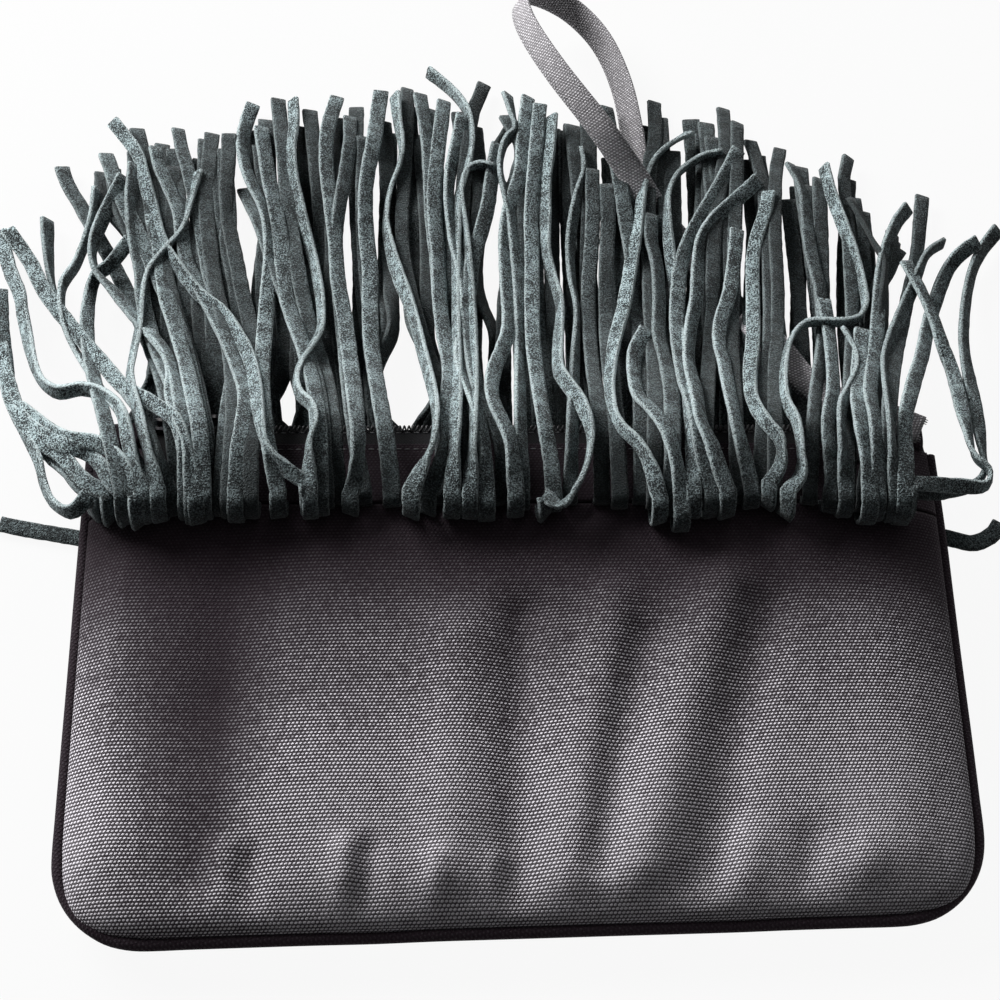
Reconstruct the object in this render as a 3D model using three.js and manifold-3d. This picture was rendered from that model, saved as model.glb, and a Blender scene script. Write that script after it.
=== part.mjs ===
import * as THREE from "three";
import { mergeVertices } from "three/addons/utils/BufferGeometryUtils.js";
import Module from "manifold-3d";

// A soft zip clutch lying on its back: X runs across the bag, Y from its bottom seam to its zip, Z up.
// The origin is the middle of the flat of the back panel. Millimetres throughout.

// Pouch
const BAG_WIDTH = 280;
const BAG_HEIGHT = 173;
const CORNER_RADIUS = 24;
const TOP_CORNER_RADIUS = 6;
const CANVAS = 1.0;
const PIPING_DIAMETER = 4;
const SEAM_HEIGHT = 9;
const FRONT_SWELL = 16;
const SWELL_RUN = 60;
const BACK_RISE = 4.8;
const BACK_EDGE_RUN = 8;
const GAP = 0.3;

// Zip
const ZIP_REVEAL = 11;
const TAB_SIDE_CLEAR = 0.6;
const CHAIN_WIDTH = 4.5;
const CHAIN_DEPTH = 1.8;
const CHAIN_SLIT = 0.8;
const TAPE = 0.5;
const TAPE_UNDER_YOKE = 7.5;
const STOP_LENGTH = 2.2;
const END_TAB_LENGTH = 14;
const SLIDER_LENGTH = 8;
const SLIDER_WIDTH = 6.6;
const SLIDER_PLATE = 1.0;
const PULL_LENGTH = 17;
const PULL_WIDTH = 5;
const PULL_THICKNESS = 1.2;

// Fringe
const FRINGE_DROP = 35.5;
const FRINGE_SIDE_MARGIN = 7.7;
const STRIP_COUNT = 52;
const STRIP_GAP = 0.4;
const SUEDE = 1.4;
const HEADER_DEPTH = 8;
const FRINGE_REACH = 181;
const FRINGE_SIDE_SHORTER = 60;
const FRINGE_FAN = 0.36;

// Wrist strap
const STRAP_WIDTH = 10;
const STRAP_THICKNESS = 1.2;
const STRAP_LOOP_HEIGHT = 16.2;

// Colours
const CANVAS_COLOUR = 0x3a383d;
const PIPING_COLOUR = 0x454349;
const SUEDE_COLOUR = 0x62716e;
const BACK_SUEDE_COLOUR = 0x3d4644;
const TAPE_COLOUR = 0x2a282c;
const COIL_COLOUR = 0x55555a;
const METAL_COLOUR = 0x8e9092;
const STRAP_COLOUR = 0x6d7472;

const halfWidth = BAG_WIDTH / 2 - PIPING_DIAMETER - GAP;
const zipY = BAG_HEIGHT / 2;
const bottomY = -BAG_HEIGHT / 2 + PIPING_DIAMETER + GAP;
const seamY = zipY - FRINGE_DROP;
const yokeY = zipY - ZIP_REVEAL;
const seamGap = GAP / 2;
const tapeHalfLength = halfWidth - TAB_SIDE_CLEAR - END_TAB_LENGTH - GAP;
const zipHalfLength = tapeHalfLength - 2 * GAP - STOP_LENGTH;
const fringeHalfWidth = halfWidth - FRINGE_SIDE_MARGIN;

const wasm = await Module();
wasm.setup();

function toManifold(geometry) {
  const bare = geometry.clone();
  bare.deleteAttribute("normal");
  bare.deleteAttribute("uv");
  const merged = mergeVertices(bare, 1e-4);
  const mesh = new wasm.Mesh({
    numProp: 3,
    vertProperties: new Float32Array(merged.attributes.position.array),
    triVerts: new Uint32Array(merged.index.array),
  });
  return new wasm.Manifold(mesh);
}

function toGeometry(solid) {
  const mesh = solid.getMesh();
  const geometry = new THREE.BufferGeometry();
  geometry.setAttribute("position", new THREE.BufferAttribute(new Float32Array(mesh.vertProperties), 3));
  geometry.setIndex(new THREE.BufferAttribute(new Uint32Array(mesh.triVerts), 1));
  return geometry;
}

// A closed solid through rings of equally many points, capped at its first and last ring.
function loft(rings) {
  const count = rings[0].length;
  const points = rings.flat();
  const faces = [];
  for (let ring = 0; ring + 1 < rings.length; ring++) {
    for (let i = 0; i < count; i++) {
      const j = (i + 1) % count;
      const a = ring * count;
      const b = a + count;
      faces.push(a + i, a + j, b + j, a + i, b + j, b + i);
    }
  }
  const centre = (ring) => ring.reduce((sum, p) => sum.add(p), new THREE.Vector3()).divideScalar(count);
  const last = (rings.length - 1) * count;
  points.push(centre(rings[0]), centre(rings[rings.length - 1]));
  for (let i = 0; i < count; i++) {
    const j = (i + 1) % count;
    faces.push(points.length - 2, j, i);
    faces.push(points.length - 1, last + i, last + j);
  }
  let volume = 0;
  for (let f = 0; f < faces.length; f += 3) {
    const [a, b, c] = [points[faces[f]], points[faces[f + 1]], points[faces[f + 2]]];
    volume += a.dot(b.clone().cross(c));
  }
  if (volume < 0) faces.reverse();
  const geometry = new THREE.BufferGeometry();
  geometry.setFromPoints(points);
  geometry.setIndex(faces);
  return geometry;
}

function boxBetween(low, high) {
  const size = high.map((value, i) => value - low[i]);
  const box = new THREE.BoxGeometry(...size);
  box.translate(...low.map((value, i) => value + size[i] / 2));
  return box;
}

const group = new THREE.Group();

function addPiece(name, geometry, color, roughness, metalness = 0) {
  const material = new THREE.MeshStandardMaterial({ color, roughness, metalness });
  const mesh = new THREE.Mesh(geometry, material);
  mesh.name = name;
  group.add(mesh);
  return mesh;
}

// The pouch's outline set in by a distance, as one ring of points at a height.
function outlineRing(inset, z) {
  const right = halfWidth - inset;
  const low = bottomY + inset;
  const high = zipY - inset;
  const radius = Math.max(CORNER_RADIUS - inset, 1);
  const topRadius = Math.max(TOP_CORNER_RADIUS - inset, 1);
  const path = new THREE.Shape();
  path.absarc(right - radius, low + radius, radius, -Math.PI / 2, 0);
  path.absarc(right - topRadius, high - topRadius, topRadius, 0, Math.PI / 2);
  path.absarc(-right + topRadius, high - topRadius, topRadius, Math.PI / 2, Math.PI);
  path.absarc(-right + radius, low + radius, radius, Math.PI, Math.PI * 1.5);
  const ring = [];
  for (const arc of path.curves.filter((curve) => curve.type === "EllipseCurve")) {
    for (const p of arc.getPoints(5)) ring.push(new THREE.Vector3(p.x, p.y, z));
  }
  return ring;
}

const frontBase = SEAM_HEIGHT + seamGap;
const backBase = SEAM_HEIGHT - seamGap;
const backEdge = backBase - BACK_RISE;
const insetAt = (x, y) => Math.min(halfWidth - Math.abs(x), zipY - y, y - bottomY, SWELL_RUN);

function frontHeight(inset, skin = 0) {
  const run = SWELL_RUN - skin;
  const along = 1 - Math.min(Math.max(inset - skin, 0), run) / run;
  return frontBase + (FRONT_SWELL - skin) * Math.sqrt(1 - along * along);
}

function backHeight(inset) {
  const along = Math.min(Math.max(inset, BACK_EDGE_RUN), SWELL_RUN);
  return (BACK_RISE * (SWELL_RUN - along)) / (SWELL_RUN - BACK_EDGE_RUN);
}

// Front half: a quarter ellipse from the seam up to the flat of the crown. Back half: a small rounded edge,
// then a gentle fall to the flat that the bag lies on.
function frontRing(step, skin) {
  const run = SWELL_RUN - skin;
  const inset = skin + run * (1 - Math.cos(step));
  return outlineRing(inset, frontBase + (FRONT_SWELL - skin) * Math.sin(step));
}

function backRing(step, skin) {
  const inset = skin + (BACK_EDGE_RUN - skin) * (1 - Math.cos(step));
  return outlineRing(inset, backBase - (backEdge - skin) * Math.sin(step));
}

function quarter(count) {
  return Array.from({ length: count + 1 }, (_, i) => (i / count) * (Math.PI / 2));
}

const frontSteps = quarter(8);
const frontShell = toManifold(loft([
  ...frontSteps.toReversed().map((step) => frontRing(step, 0)),
  ...frontSteps.map((step) => frontRing(step, CANVAS)),
]));
const backSteps = quarter(4);
const backShell = toManifold(loft([
  outlineRing(SWELL_RUN, 0),
  ...backSteps.toReversed().map((step) => backRing(step, 0)),
  ...backSteps.map((step) => backRing(step, CANVAS)),
  outlineRing(SWELL_RUN, CANVAS),
]));

function bandOf(shell, fromY, toY) {
  const slab = boxBetween([-BAG_WIDTH, fromY, -10], [BAG_WIDTH, toY, BAG_HEIGHT]);
  return toGeometry(shell.intersect(toManifold(slab)));
}

const slot = SUEDE / 2 + GAP;
addPiece("front_panel", bandOf(frontShell, -BAG_HEIGHT, seamY - slot), CANVAS_COLOUR, 0.95);
addPiece("front_yoke", bandOf(frontShell, seamY + slot, yokeY), CANVAS_COLOUR, 0.95);
addPiece("back_panel", bandOf(backShell, -BAG_HEIGHT, seamY - slot), CANVAS_COLOUR, 0.95);
addPiece("back_yoke", bandOf(backShell, seamY + slot, yokeY), CANVAS_COLOUR, 0.95);

// Piping: a covered cord along the two sides and the bottom, at the seam.
const pipingRadius = PIPING_DIAMETER / 2;
const pipingX = BAG_WIDTH / 2 - pipingRadius;
const pipingLow = -BAG_HEIGHT / 2 + pipingRadius;
const pipingBend = CORNER_RADIUS + pipingRadius + GAP;
const pipingPath = [{ x: pipingX, y: yokeY, turn: 0 }];
for (const side of [1, -1]) {
  for (let i = 0; i <= 6; i++) {
    const turn = side > 0 ? -(i / 6) * (Math.PI / 2) : -Math.PI / 2 - (i / 6) * (Math.PI / 2);
    pipingPath.push({
      x: side * (pipingX - pipingBend) + pipingBend * Math.cos(turn),
      y: pipingLow + pipingBend + pipingBend * Math.sin(turn),
      turn,
    });
  }
}
pipingPath.push({ x: -pipingX, y: yokeY, turn: -Math.PI });
const pipingSides = 10;
const pipingRings = pipingPath.map(({ x, y, turn }) => Array.from({ length: pipingSides }, (_, i) => {
  const around = (i / pipingSides) * Math.PI * 2;
  const out = pipingRadius * Math.cos(around);
  return new THREE.Vector3(
    x + out * Math.cos(turn),
    y + out * Math.sin(turn),
    SEAM_HEIGHT + pipingRadius * Math.sin(around),
  );
}));
addPiece("piping", loft(pipingRings), PIPING_COLOUR, 0.9);

// Zip: two tapes under the yokes' edges, a coil row on each, end stops, end tabs, slider and pull.
function tapeAlongX(route, halfLength) {
  const line = route.map(([y, z]) => new THREE.Vector2(y, z));
  const offsetLine = (side) => line.map((point, i) => {
    const before = line[Math.max(i - 1, 0)];
    const after = line[Math.min(i + 1, line.length - 1)];
    const along = after.clone().sub(before).normalize();
    return new THREE.Vector2(-along.y, along.x).multiplyScalar((side * TAPE) / 2).add(point);
  });
  const outline = [...offsetLine(1), ...offsetLine(-1).reverse()];
  const end = (x) => outline.map((p) => new THREE.Vector3(x, p.x, p.y));
  const solid = new THREE.ExtrudeGeometry(new THREE.Shape(outline), { depth: 2 * halfLength, bevelEnabled: false });
  solid.applyMatrix4(new THREE.Matrix4().makeBasis(
    new THREE.Vector3(0, 1, 0), new THREE.Vector3(0, 0, 1), new THREE.Vector3(1, 0, 0),
  ));
  solid.translate(end(-halfLength)[0].x, 0, 0);
  return solid;
}

const chainY = zipY - GAP - CHAIN_DEPTH / 2;
const chainHeight = (frontHeight(ZIP_REVEAL, CANVAS) + backHeight(ZIP_REVEAL) + CANVAS) / 2;
const rowHeight = (CHAIN_WIDTH - CHAIN_SLIT) / 2;
const tapeStart = CHAIN_WIDTH / 2 + GAP;
const sliderHalf = SLIDER_WIDTH / 2;
for (const [side, name] of [[1, "front"], [-1, "back"]]) {
  const under = side > 0
    ? (y) => frontHeight(zipY - y, CANVAS) - 2 * GAP - TAPE / 2
    : (y) => backHeight(zipY - y) + CANVAS + GAP + TAPE / 2;
  const clear = chainHeight + side * (sliderHalf + GAP + TAPE);
  const route = [
    [chainY, chainHeight + side * tapeStart],
    [chainY, clear],
    [chainY - 1, clear + side * 0.8],
    [yokeY, under(yokeY)],
    [yokeY - TAPE_UNDER_YOKE, (under(yokeY) + under(yokeY - TAPE_UNDER_YOKE / 2)) / 2],
  ];
  addPiece(`zip_tape_${name}`, tapeAlongX(route, tapeHalfLength), TAPE_COLOUR, 0.9);
  const rowZ = chainHeight + side * (CHAIN_SLIT / 2 + rowHeight / 2);
  const row = new THREE.BoxGeometry(2 * zipHalfLength, CHAIN_DEPTH, rowHeight);
  row.translate(0, chainY, rowZ);
  addPiece(`zip_coil_${name}`, row, COIL_COLOUR, 0.5);
  const topStop = new THREE.BoxGeometry(STOP_LENGTH, CHAIN_DEPTH + 0.4, rowHeight);
  topStop.translate(-zipHalfLength - GAP - STOP_LENGTH / 2, chainY, rowZ);
  addPiece(`zip_top_stop_${name}`, topStop, METAL_COLOUR, 0.4, 0.9);
}
const bottomStop = new THREE.BoxGeometry(STOP_LENGTH, CHAIN_DEPTH + 0.4, CHAIN_WIDTH);
bottomStop.translate(zipHalfLength + GAP + STOP_LENGTH / 2, chainY, chainHeight);
addPiece("zip_bottom_stop", bottomStop, METAL_COLOUR, 0.4, 0.9);

const tabLow = backHeight(ZIP_REVEAL) + GAP;
const tabHigh = frontHeight(ZIP_REVEAL) - 1.5;
for (const [side, name] of [[-1, "left"], [1, "right"]]) {
  const inner = tapeHalfLength + GAP;
  const outline = new THREE.Shape();
  const depth = ZIP_REVEAL - GAP - 0.2;
  const corner = 3;
  outline.moveTo(0, 0);
  outline.lineTo(END_TAB_LENGTH, 0);
  outline.lineTo(END_TAB_LENGTH, depth - corner);
  outline.absarc(END_TAB_LENGTH - corner, depth - corner, corner, 0, Math.PI / 2);
  outline.lineTo(0, depth);
  const tab = new THREE.ExtrudeGeometry(outline, {
    depth: tabHigh - tabLow, bevelEnabled: false, curveSegments: 4,
  });
  if (side < 0) {
    tab.rotateY(Math.PI);
    tab.translate(0, 0, tabHigh - tabLow);
  }
  tab.translate(side * inner, yokeY + GAP, tabLow);
  addPiece(`zip_end_tab_${name}`, tab, CANVAS_COLOUR, 0.95);
}

// Slider: an outer and an inner plate on a thin web in the chain's slit, with a crown that holds the pull.
const sliderX = -zipHalfLength + SLIDER_LENGTH / 2 + 1;
const outerPlateY = chainY + CHAIN_DEPTH / 2 + GAP;
const innerPlateY = chainY - CHAIN_DEPTH / 2 - GAP;
const crownWidth = 1.6;
const crownClear = 2.6;
const sliderHalfLength = SLIDER_LENGTH / 2;
const plateTop = outerPlateY + SLIDER_PLATE;
const sliderParts = [
  [[-sliderHalfLength, outerPlateY, -sliderHalf], [sliderHalfLength, plateTop, sliderHalf]],
  [[-sliderHalfLength, innerPlateY - SLIDER_PLATE, -sliderHalf], [sliderHalfLength, innerPlateY, sliderHalf]],
  [[-2, innerPlateY - 0.5, -CHAIN_SLIT / 4], [2, outerPlateY + 0.5, CHAIN_SLIT / 4]],
  [[-3, plateTop + crownClear, -crownWidth / 2], [3, plateTop + crownClear + 0.9, crownWidth / 2]],
  [[-3, plateTop - 0.5, -crownWidth / 2], [-2, plateTop + crownClear + 0.5, crownWidth / 2]],
  [[2, plateTop - 0.5, -crownWidth / 2], [3, plateTop + crownClear + 0.5, crownWidth / 2]],
];
const sliderSolid = sliderParts
  .map(([low, high]) => toManifold(boxBetween(low, high)))
  .reduce((whole, next) => whole.add(next));
const slider = addPiece("zip_slider", toGeometry(sliderSolid), METAL_COLOUR, 0.4, 0.9);
slider.position.set(sliderX, 0, chainHeight);

// Pull: a flat tag whose eye goes round the crown; its bar is the hinge.
const pullBar = 1.2;
const pullOutline = new THREE.Shape();
const pullHalf = PULL_WIDTH / 2;
pullOutline.moveTo(-pullBar / 2, -pullHalf + 0.6);
pullOutline.lineTo(PULL_LENGTH - pullHalf, -pullHalf);
pullOutline.absarc(PULL_LENGTH - pullHalf, 0, pullHalf, -Math.PI / 2, Math.PI / 2);
pullOutline.lineTo(-pullBar / 2, pullHalf - 0.6);
pullOutline.closePath();
const eye = new THREE.Path();
const eyeHalf = crownWidth / 2 + GAP + 0.2;
eye.moveTo(pullBar / 2, -eyeHalf);
eye.lineTo(pullBar / 2, eyeHalf);
eye.lineTo(pullBar / 2 + 6, eyeHalf);
eye.lineTo(pullBar / 2 + 6, -eyeHalf);
eye.closePath();
pullOutline.holes.push(eye);
const pullGeometry = new THREE.ExtrudeGeometry(pullOutline, {
  depth: PULL_THICKNESS, bevelEnabled: false, curveSegments: 8,
});
pullGeometry.translate(0, 0, -PULL_THICKNESS / 2);
pullGeometry.rotateX(-Math.PI / 2);
const pull = addPiece("zip_pull", pullGeometry, METAL_COLOUR, 0.4, 0.9);
pull.position.set(sliderX, plateTop + crownClear / 2, chainHeight);

// Wrist strap: one band doubled back on itself, both ends sewn to the right end tab. Each stop on the
// doubled band's middle line has its place from the bag's upper right corner, its height above the surface,
// how far the band leans there, and half the gap between its two legs.
const strapPair = 2 * STRAP_THICKNESS + GAP;
const closed = strapPair / 4;
const strapSeat = tabHigh + GAP + strapPair / 2;
const strapOverPull = chainHeight + PULL_WIDTH / 2 + 3 * GAP + strapPair / 2;
const strapLying = SUEDE + 2 * GAP + strapPair / 2;
const strapRoute = [
  { at: [-1.7, 4.5 - ZIP_REVEAL, strapSeat], lean: 0, half: closed },
  { at: [-17.7, 1, strapSeat + GAP], lean: 0, half: closed },
  { at: [-34.7, 10.5, strapOverPull], lean: 0, half: closed },
  { at: [-46.7, 31.5, strapOverPull - 3], lean: 0, half: closed },
  { at: [-52.2, 42.5, strapLying + 4.8], lean: 0, half: closed },
  { at: [-58.7, 55.5, strapLying + 0.1], lean: 0, half: closed },
  { at: [-69.7, 74.5, strapLying], lean: 0, half: closed },
  { at: [-80.7, 91.5, strapLying + 0.8], lean: 8, half: closed },
  { at: [-88.7, 105.5, 0.52 * STRAP_LOOP_HEIGHT], lean: 25, half: 2 },
  { at: [-95.7, 122.5, 0.9 * STRAP_LOOP_HEIGHT], lean: 42, half: 7 },
  { at: [-103.7, 144.5, STRAP_LOOP_HEIGHT], lean: 47, half: 12 },
  { at: [-111.7, 165.5, STRAP_LOOP_HEIGHT], lean: 47, half: 11.5 },
  { at: [-117.7, 179.5, STRAP_LOOP_HEIGHT], lean: 47, half: 7.5 },
  { at: [-120.7, 185.5, STRAP_LOOP_HEIGHT], lean: 47, half: 0 },
];
const strapCorner = new THREE.Vector3(halfWidth, zipY, 0);
const strapMiddle = strapRoute.map((stop) => new THREE.Vector3(...stop.at).add(strapCorner));
const strapFrames = strapRoute.map(({ lean, half }, i) => {
  const before = strapMiddle[Math.max(i - 1, 0)];
  const after = strapMiddle[Math.min(i + 1, strapMiddle.length - 1)];
  const along = after.clone().sub(before).normalize();
  const flat = new THREE.Vector3(along.y, -along.x, 0).normalize();
  const across = flat.applyAxisAngle(along, THREE.MathUtils.degToRad(-lean));
  const apart = along.clone().cross(across).normalize();
  return { at: strapMiddle[i], across, apart, half, lean };
});
const strapLegs = [
  ...strapFrames.map(({ at, across, apart, half }) => ({ at: apart.clone().multiplyScalar(half).add(at), across })),
  ...strapFrames.toReversed().slice(1).map(({ at, across, apart, half }) => (
    { at: apart.clone().multiplyScalar(-half).add(at), across }
  )),
];
const strapCurve = new THREE.CatmullRomCurve3(strapLegs.map((leg) => leg.at), false, "centripetal");
const strapSteps = 3 * (strapLegs.length - 1);
const strapRings = Array.from({ length: strapSteps + 1 }, (_, i) => {
  const share = (i / strapSteps) * (strapLegs.length - 1);
  const from = Math.min(Math.floor(share), strapLegs.length - 2);
  const across = strapLegs[from].across.clone().lerp(strapLegs[from + 1].across, share - from);
  const point = strapCurve.getPoint(i / strapSteps);
  const along = strapCurve.getTangent(i / strapSteps);
  across.addScaledVector(along, -across.dot(along)).normalize();
  const skin = along.clone().cross(across).multiplyScalar(STRAP_THICKNESS / 2);
  const wide = across.multiplyScalar(STRAP_WIDTH / 2);
  return [[1, 1], [-1, 1], [-1, -1], [1, -1]].map(([w, s]) => (
    point.clone().addScaledVector(wide, w).addScaledVector(skin, s)
  ));
});
addPiece("wrist_strap", loft(strapRings), STRAP_COLOUR, 0.9);

// Fringe: a suede header caught in the seam between panel and yoke, cut into strips that are thrown up
// over the zip. A front strip turns over in a small loop at the seam; a back strip lies under the bag.
const stripPitch = (2 * fringeHalfWidth) / STRIP_COUNT;
const stripHalf = (stripPitch - STRIP_GAP) / 2;
const stripRoots = Array.from({ length: STRIP_COUNT }, (_, i) => -fringeHalfWidth + (i + 0.5) * stripPitch);
const overZip = strapSeat + strapPair / 2 + 3 * GAP + SUEDE / 2;
const overPull = strapOverPull + strapPair / 2 + 3 * GAP + SUEDE / 2;
const lowLying = 1.5 * SUEDE + GAP;
const overStrap = strapLying + strapPair / 2 + 2 * GAP + SUEDE / 2;
const strapSide = halfWidth - 95.7;

function stripPlan(x) {
  const share = x / fringeHalfWidth;
  const reachY = FRINGE_REACH - FRINGE_SIDE_SHORTER * share * share;
  const spreadX = FRINGE_FAN * x;
  const length = Math.hypot(reachY, spreadX);
  return { length, direction: new THREE.Vector3(spreadX / length, reachY / length, 0) };
}

function stripSolid(root, direction, profile, squareRings) {
  const turned = new THREE.Vector3(direction.y, -direction.x, 0).multiplyScalar(stripHalf);
  const square = { side: new THREE.Vector3(stripHalf, 0, 0), rings: squareRings };
  const place = ([run, z]) => root.clone().addScaledVector(direction, run).setZ(z);
  const line = profile.map(place);
  const rings = line.map((point, i) => {
    const side = i < square.rings ? square.side : turned;
    const before = line[Math.max(i - 1, 0)];
    const after = line[Math.min(i + 1, line.length - 1)];
    const skin = after.clone().sub(before).cross(side).normalize().multiplyScalar(SUEDE / 2);
    return [[1, 1], [-1, 1], [-1, -1], [1, -1]].map(([w, s]) => (
      point.clone().addScaledVector(side, w).addScaledVector(skin, s)
    ));
  });
  return toManifold(loft(rings));
}

// A strip that would run into the leaning part of the strap ends just before it.
function clearRun(root, direction, length, z) {
  for (let run = 60; run < length; run += 2) {
    const point = root.clone().addScaledVector(direction, run);
    for (let i = 0; i <= strapSteps; i++) {
      const ring = strapRings[i];
      const low = Math.min(...ring.map((p) => p.z));
      const high = Math.max(...ring.map((p) => p.z));
      if (low > z + SUEDE || high < z - SUEDE) continue;
      const near = Math.min(...ring.map((p) => Math.hypot(p.x - point.x, p.y - point.y)));
      if (near < STRAP_WIDTH / 2 + stripHalf + 1) return run - 6;
    }
  }
  return length;
}

function headerSolid(edgeAt, depthAt) {
  const half = fringeHalfWidth - STRIP_GAP / 2;
  const stations = [-half, -0.94 * half, -0.88 * half, -0.8 * half, 0.8 * half, 0.88 * half, 0.94 * half, half];
  const outline = new THREE.Shape([
    ...stations.map((x) => new THREE.Vector2(x, edgeAt(x))),
    ...stations.toReversed().map((x) => new THREE.Vector2(x, depthAt(x))),
  ]);
  const web = new THREE.ExtrudeGeometry(outline, { depth: SUEDE, bevelEnabled: false });
  web.rotateX(Math.PI / 2);
  web.translate(0, seamY + SUEDE / 2, 0);
  return toManifold(web);
}

const zipRun = zipY - seamY;
const frontEdge = (x) => frontHeight(insetAt(x, seamY));
let frontFringe = headerSolid(
  (x) => frontEdge(x) - CANVAS / 2,
  (x) => Math.max(frontEdge(x) - CANVAS - HEADER_DEPTH, SEAM_HEIGHT + 2 * GAP),
);
for (const x of stripRoots) {
  const base = frontEdge(Math.abs(x) - stripHalf);
  const root = new THREE.Vector3(x, seamY, 0);
  const { length, direction } = stripPlan(x);
  const lying = x > strapSide ? overStrap : lowLying;
  const end = clearRun(root, direction, length, lying);
  const profile = [
    [0, base - CANVAS],
    [0, base + 2 * GAP],
    [-3.2, base + 2.8],
    [-5.4, base + 5],
    [-3.6, base + 7.4],
    [1, base + 7.8],
    [zipRun, overZip],
    [zipRun + 28, overPull],
    [zipRun + 60, lying],
    [Math.max(end, zipRun + 66), lying],
  ];
  frontFringe = frontFringe.add(stripSolid(root, direction, profile, 2));
}
addPiece("front_fringe", toGeometry(frontFringe), SUEDE_COLOUR, 0.95);

const backEdgeAt = (x) => backHeight(insetAt(x, seamY));
let backFringe = headerSolid(
  (x) => Math.min(backEdgeAt(x) + CANVAS + HEADER_DEPTH, SEAM_HEIGHT - 2 * GAP),
  (x) => SUEDE / 2,
);
for (const x of stripRoots) {
  const root = new THREE.Vector3(x, seamY, 0);
  const { length, direction } = stripPlan(x);
  const profile = [
    [-SUEDE / 2, SUEDE / 2],
    [length - stripPitch, SUEDE / 2],
  ];
  backFringe = backFringe.add(stripSolid(root, direction, profile, 1));
}
addPiece("back_fringe", toGeometry(backFringe), BACK_SUEDE_COLOUR, 0.95);

export default group;
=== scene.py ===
import math
import random

import bmesh
import bpy
import numpy as np
from mathutils import Matrix


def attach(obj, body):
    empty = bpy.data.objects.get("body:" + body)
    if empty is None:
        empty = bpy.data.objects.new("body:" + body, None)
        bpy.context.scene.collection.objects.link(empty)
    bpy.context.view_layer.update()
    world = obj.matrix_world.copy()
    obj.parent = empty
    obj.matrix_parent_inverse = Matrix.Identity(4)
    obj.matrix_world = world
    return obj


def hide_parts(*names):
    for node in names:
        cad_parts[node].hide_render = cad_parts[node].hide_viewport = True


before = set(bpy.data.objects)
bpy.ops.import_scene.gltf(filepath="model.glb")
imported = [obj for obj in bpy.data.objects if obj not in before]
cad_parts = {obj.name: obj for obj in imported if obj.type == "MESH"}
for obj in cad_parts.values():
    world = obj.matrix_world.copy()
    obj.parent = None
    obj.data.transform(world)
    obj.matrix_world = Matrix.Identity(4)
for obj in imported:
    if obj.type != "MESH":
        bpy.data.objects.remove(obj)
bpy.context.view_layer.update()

scene = bpy.context.scene

# Camera. The bag lies on its back and is seen from in front and 60 degrees above.
# The picture is taken as 1000 pixels square, and the strips of the fringe follow lines seen in it.
MM = 0.001
PICTURE = 1000
SENSOR = 36
FOCAL_PIXELS = 2108
CAMERA_PLACE = np.array((-34.6, -282.2, 603.1))
VIEW_RIGHT = np.array((0.99906, -0.02453, 0.03566))
VIEW_UP = np.array((0.00349, 0.86675, 0.49873))
VIEW_BACK = np.cross(VIEW_RIGHT, VIEW_UP)

camera_data = bpy.data.cameras.new("camera")
camera_data.sensor_width = SENSOR
camera_data.lens = SENSOR * FOCAL_PIXELS / PICTURE
camera = bpy.data.objects.new("camera", camera_data)
camera_turn = Matrix(np.stack((VIEW_RIGHT, VIEW_UP, VIEW_BACK), 1).tolist()).to_4x4()
camera.matrix_world = Matrix.Translation((CAMERA_PLACE * MM).tolist()) @ camera_turn
scene.collection.objects.link(camera)
scene.camera = camera


def on_level(pixels, height):
    """Where the lines of sight through pixels of the picture meet the given heights, in mm."""
    pixels = np.asarray(pixels, float)
    sight = (np.outer(pixels[:, 0] - PICTURE / 2, VIEW_RIGHT)
             + np.outer(PICTURE / 2 - pixels[:, 1], VIEW_UP) - FOCAL_PIXELS * VIEW_BACK)
    reach = (height - CAMERA_PLACE[2]) / sight[:, 2]
    return CAMERA_PLACE + sight * reach[:, None]


# Front panel. One piece of charcoal canvas, plain woven from thick thread, that swells over the pouch
# and is sewn into the side and bottom seams with the piping, and into the fringe seam at its top.
SEAM_HALF_WIDTH = 136.7
SEAM_LOW = -83.2
SEAM_HEIGHT = 9.15
FRINGE_SEAM = 51.0
DOME_RUN = 58.0
DOME_RISE = 13.8
BULGE = 3.2
CORNER_POWER = 5.6
CROWN_END = 30
CROWN_RUN = 46
CROWN_FALL = 0.45
SKEW_NARROWING = 2.6
SKEW_TILT = 0.02
SKEW_DROP = 1.2
FOLD_FADE = 15
CANVAS = 1.0
CANVAS_GRID = 1.5
CANVAS_DARK = (0.0125, 0.0068, 0.0105, 1)
CANVAS_LIGHT = (0.74, 0.71, 0.76, 1)
FLOAT_LENGTH = 1.24
FLOAT_ROW = 1.12

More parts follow.
